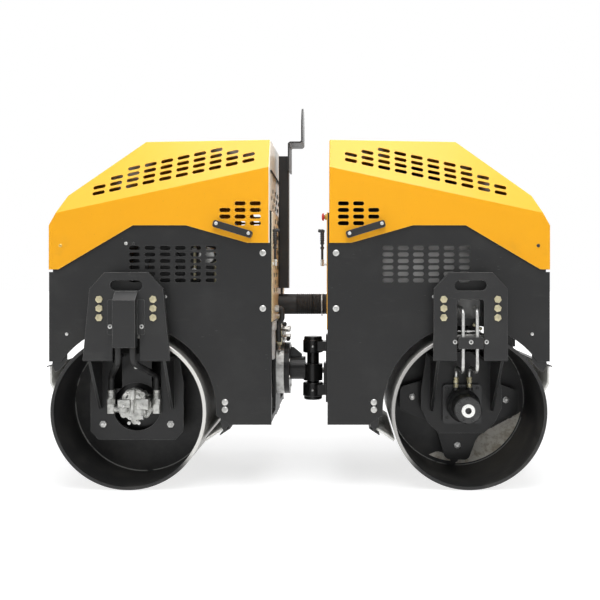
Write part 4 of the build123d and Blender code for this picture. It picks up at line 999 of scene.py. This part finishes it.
nipple = turned([(0, 0.0055), (0.001, 0.0072), (0.008, 0.0072), (0.009, 0.005), (0.013, 0.005), (0.014, 0.0066),
                 (0.020, 0.0066), (0.021, 0.004)], 6)
nipples = [copyAt(nipple, place, facing) for place, facing in cluster["nipples"]]
boltAcross, boltUp = cluster["blockBolts"]
nipples += [copyAt(flangeBolt, (cluster["flangeX"], y, z), (1, 0, 0), y * 40) for y in boltAcross for z in boltUp]
settleParts("blockFittings", nipples, "engine_frame", silver)
knob = turned([(0, 0.004), (0.004, 0.004), (0.005, 0.0075), (0.009, 0.0095), (0.014, 0.0085), (0.017, 0.004)], 20)
pin = turned([(0, 0.0018), (0.001, 0.0026), (0.026, 0.0026), (0.027, 0.0018)], 12)
knobs = [copyAt(knob, place, facing) for place, facing in cluster["knobs"]]
settleParts("blockKnobs", [knobs[0], copyAt(pin, *cluster["pin"]), knobs[1]],
            "engine_frame", bracketBlack)

flangeBolts = []
for step in range(8):
    turn = math.radians(22.5 + 45 * step)
    spot = (cluster["flangeX"], cluster["boltRing"] * math.cos(turn),
            cluster["boltHeight"] + cluster["boltRing"] * math.sin(turn))
    flangeBolts.append(copyAt(flangeBolt, spot, (1, 0, 0), turn))
settleParts("flangeBolts", flangeBolts, "knuckle", silver)

bulkNut = turned([(0, 0.0085), (0.0015, 0.0118), (0.0125, 0.0118), (0.014, 0.0095), (0.018, 0.0095),
                  (0.0195, 0.0128), (0.033, 0.0128), (0.035, 0.0085)], 6)
settleParts("bulkheadNut", [copyAt(bulkNut, cluster["bulkheadNut"], (1, 0, 0))], "engine_frame", silver)
elbowHose = bentHose(rounded(cluster["hosePath"], cluster["hoseBend"]), cluster["hoseRadius"])
settleParts("bulkheadHose", [elbowHose], "engine_frame", rubber)
stay = turned([(0, 0.0022), (0.002, 0.0032), (0.608, 0.0032), (0.610, 0.0022)], 12)
settleParts("hoodStay", [copyAt(stay, cluster["stay"], (0, 1, -0.018))], "engine_hood", rubber)
stem = turned([(0, 0.0035), (0.001, 0.0048), (0.024, 0.0048), (0.025, 0.0065), (0.030, 0.0065)], 16)
settleParts("mastStem", [copyAt(stem, cluster["stem"])], "engine_frame", rubber)
grease = turned([(0, 0.0030), (0.001, 0.0042), (0.0035, 0.0042), (0.0040, 0.0024), (0.0065, 0.0030),
                 (0.0080, 0.0018)], 12)
greaseParts = [copyAt(grease, (*cluster["grease"], z), (0, -1, 0)) for z in cluster["greaseHeights"]]
settleParts("yokeGrease", greaseParts, "tank_frame", silver)
binned(nipple, knob, pin, bulkNut, stay, stem, grease, flangeBolt, coverBolt)
print("end fittings made")

# floor, backdrop and lamps
studio = {"floor": (0.93, 0.93, 0.93), "fill": 0.42, "near": 1.5, "far": 2.6, "lift": 0.5, "liftStrength": 1.35,
          "backdropFrom": -0.55, "backdropTo": -0.05}


def whiteShare(graph, mirrored=1):  # 1 for camera rays, and for mirrored rays where mirrored is 1
    rays = ("Is Camera Ray", "Is Glossy Ray", "Is Transmission Ray")
    camera, glossy, through = [graph.add("ShaderNodeLightPath", {}, [], ray) for ray in rays]
    return camera.most(glossy.most(through) * mirrored)


def showWhite(graph, share, own, white, output):  # white over the own shader, by its share
    mix = graph.add("ShaderNodeMixShader", {}, [share, own, white])
    graph.tree.links.new(mix.socket, graph.tree.nodes[output].inputs["Surface"])


world = bpy.data.worlds.new("studio")
bpy.context.scene.world = world
world.use_nodes = True
sky = Graph(world.node_tree)
fill = sky.tree.nodes["Background"]
fill.inputs["Color"].default_value = (0.97, 0.98, 1.0, 1)
fill.inputs["Strength"].default_value = studio["fill"]
plain = sky.add("ShaderNodeBackground", {}, {"Color": (1, 1, 1, 1), "Strength": 1})
# the white backdrop stands behind the roller, not behind the camera
depth = sky.split(sky.add("ShaderNodeTexCoord", {}, [], "Generated"))[1]
backdrop = sky.band(depth, studio["backdropFrom"], studio["backdropTo"])
showWhite(sky, whiteShare(sky, backdrop), Wire(sky, fill.outputs[0]), plain, "World Output")

deselectAll()
bpy.ops.mesh.primitive_plane_add(size=60, location=(0, 0, -0.0006))
floor = bpy.context.object
floor.name = "floor"
white = Finish("floorWhite", roughness=0.9, Specular_IOR_Level=0.1, Base_Color=(*studio["floor"], 1))
away = (white.x * white.x * 0.55 + white.y * white.y).root()
glow = white.add("ShaderNodeEmission", {}, {"Strength": studio["liftStrength"]})
share = whiteShare(white) * white.band(away, studio["near"], studio["far"]).most(studio["lift"])
showWhite(white, share, Wire(white, white.shader.outputs[0]), glow, "Material Output")
floor.data.materials.append(white.material)

lamps = (
    # name, size, power, place, aim
    ("keyLamp", 2.6, 50, (0.3, -3.4, 3.9), (0.0, 0.0, 0.8)),
    ("topLamp", 3.4, 120, (0.0, -0.9, 4.4), (0.0, 0.0, 0.8)),
    ("leftLamp", 2.2, 20, (-4.2, -2.0, 2.2), (0.0, 0.0, 0.6)),
    ("rightLamp", 2.2, 24, (4.2, -1.6, 2.4), (0.0, 0.0, 0.6)),
    ("backLamp", 3.0, 46, (0.0, 4.2, 3.4), (0.0, 0.0, 0.8)),
)
for name, size, power, place, aim in lamps:
    bpy.ops.object.light_add(type="AREA", location=place)
    lamp = bpy.context.object
    lamp.name = name
    lamp.data.size = size
    lamp.data.energy = power
    lamp.rotation_euler = (Vector(aim) - Vector(place)).to_track_quat("-Z", "Y").to_euler()
print("studio lit")
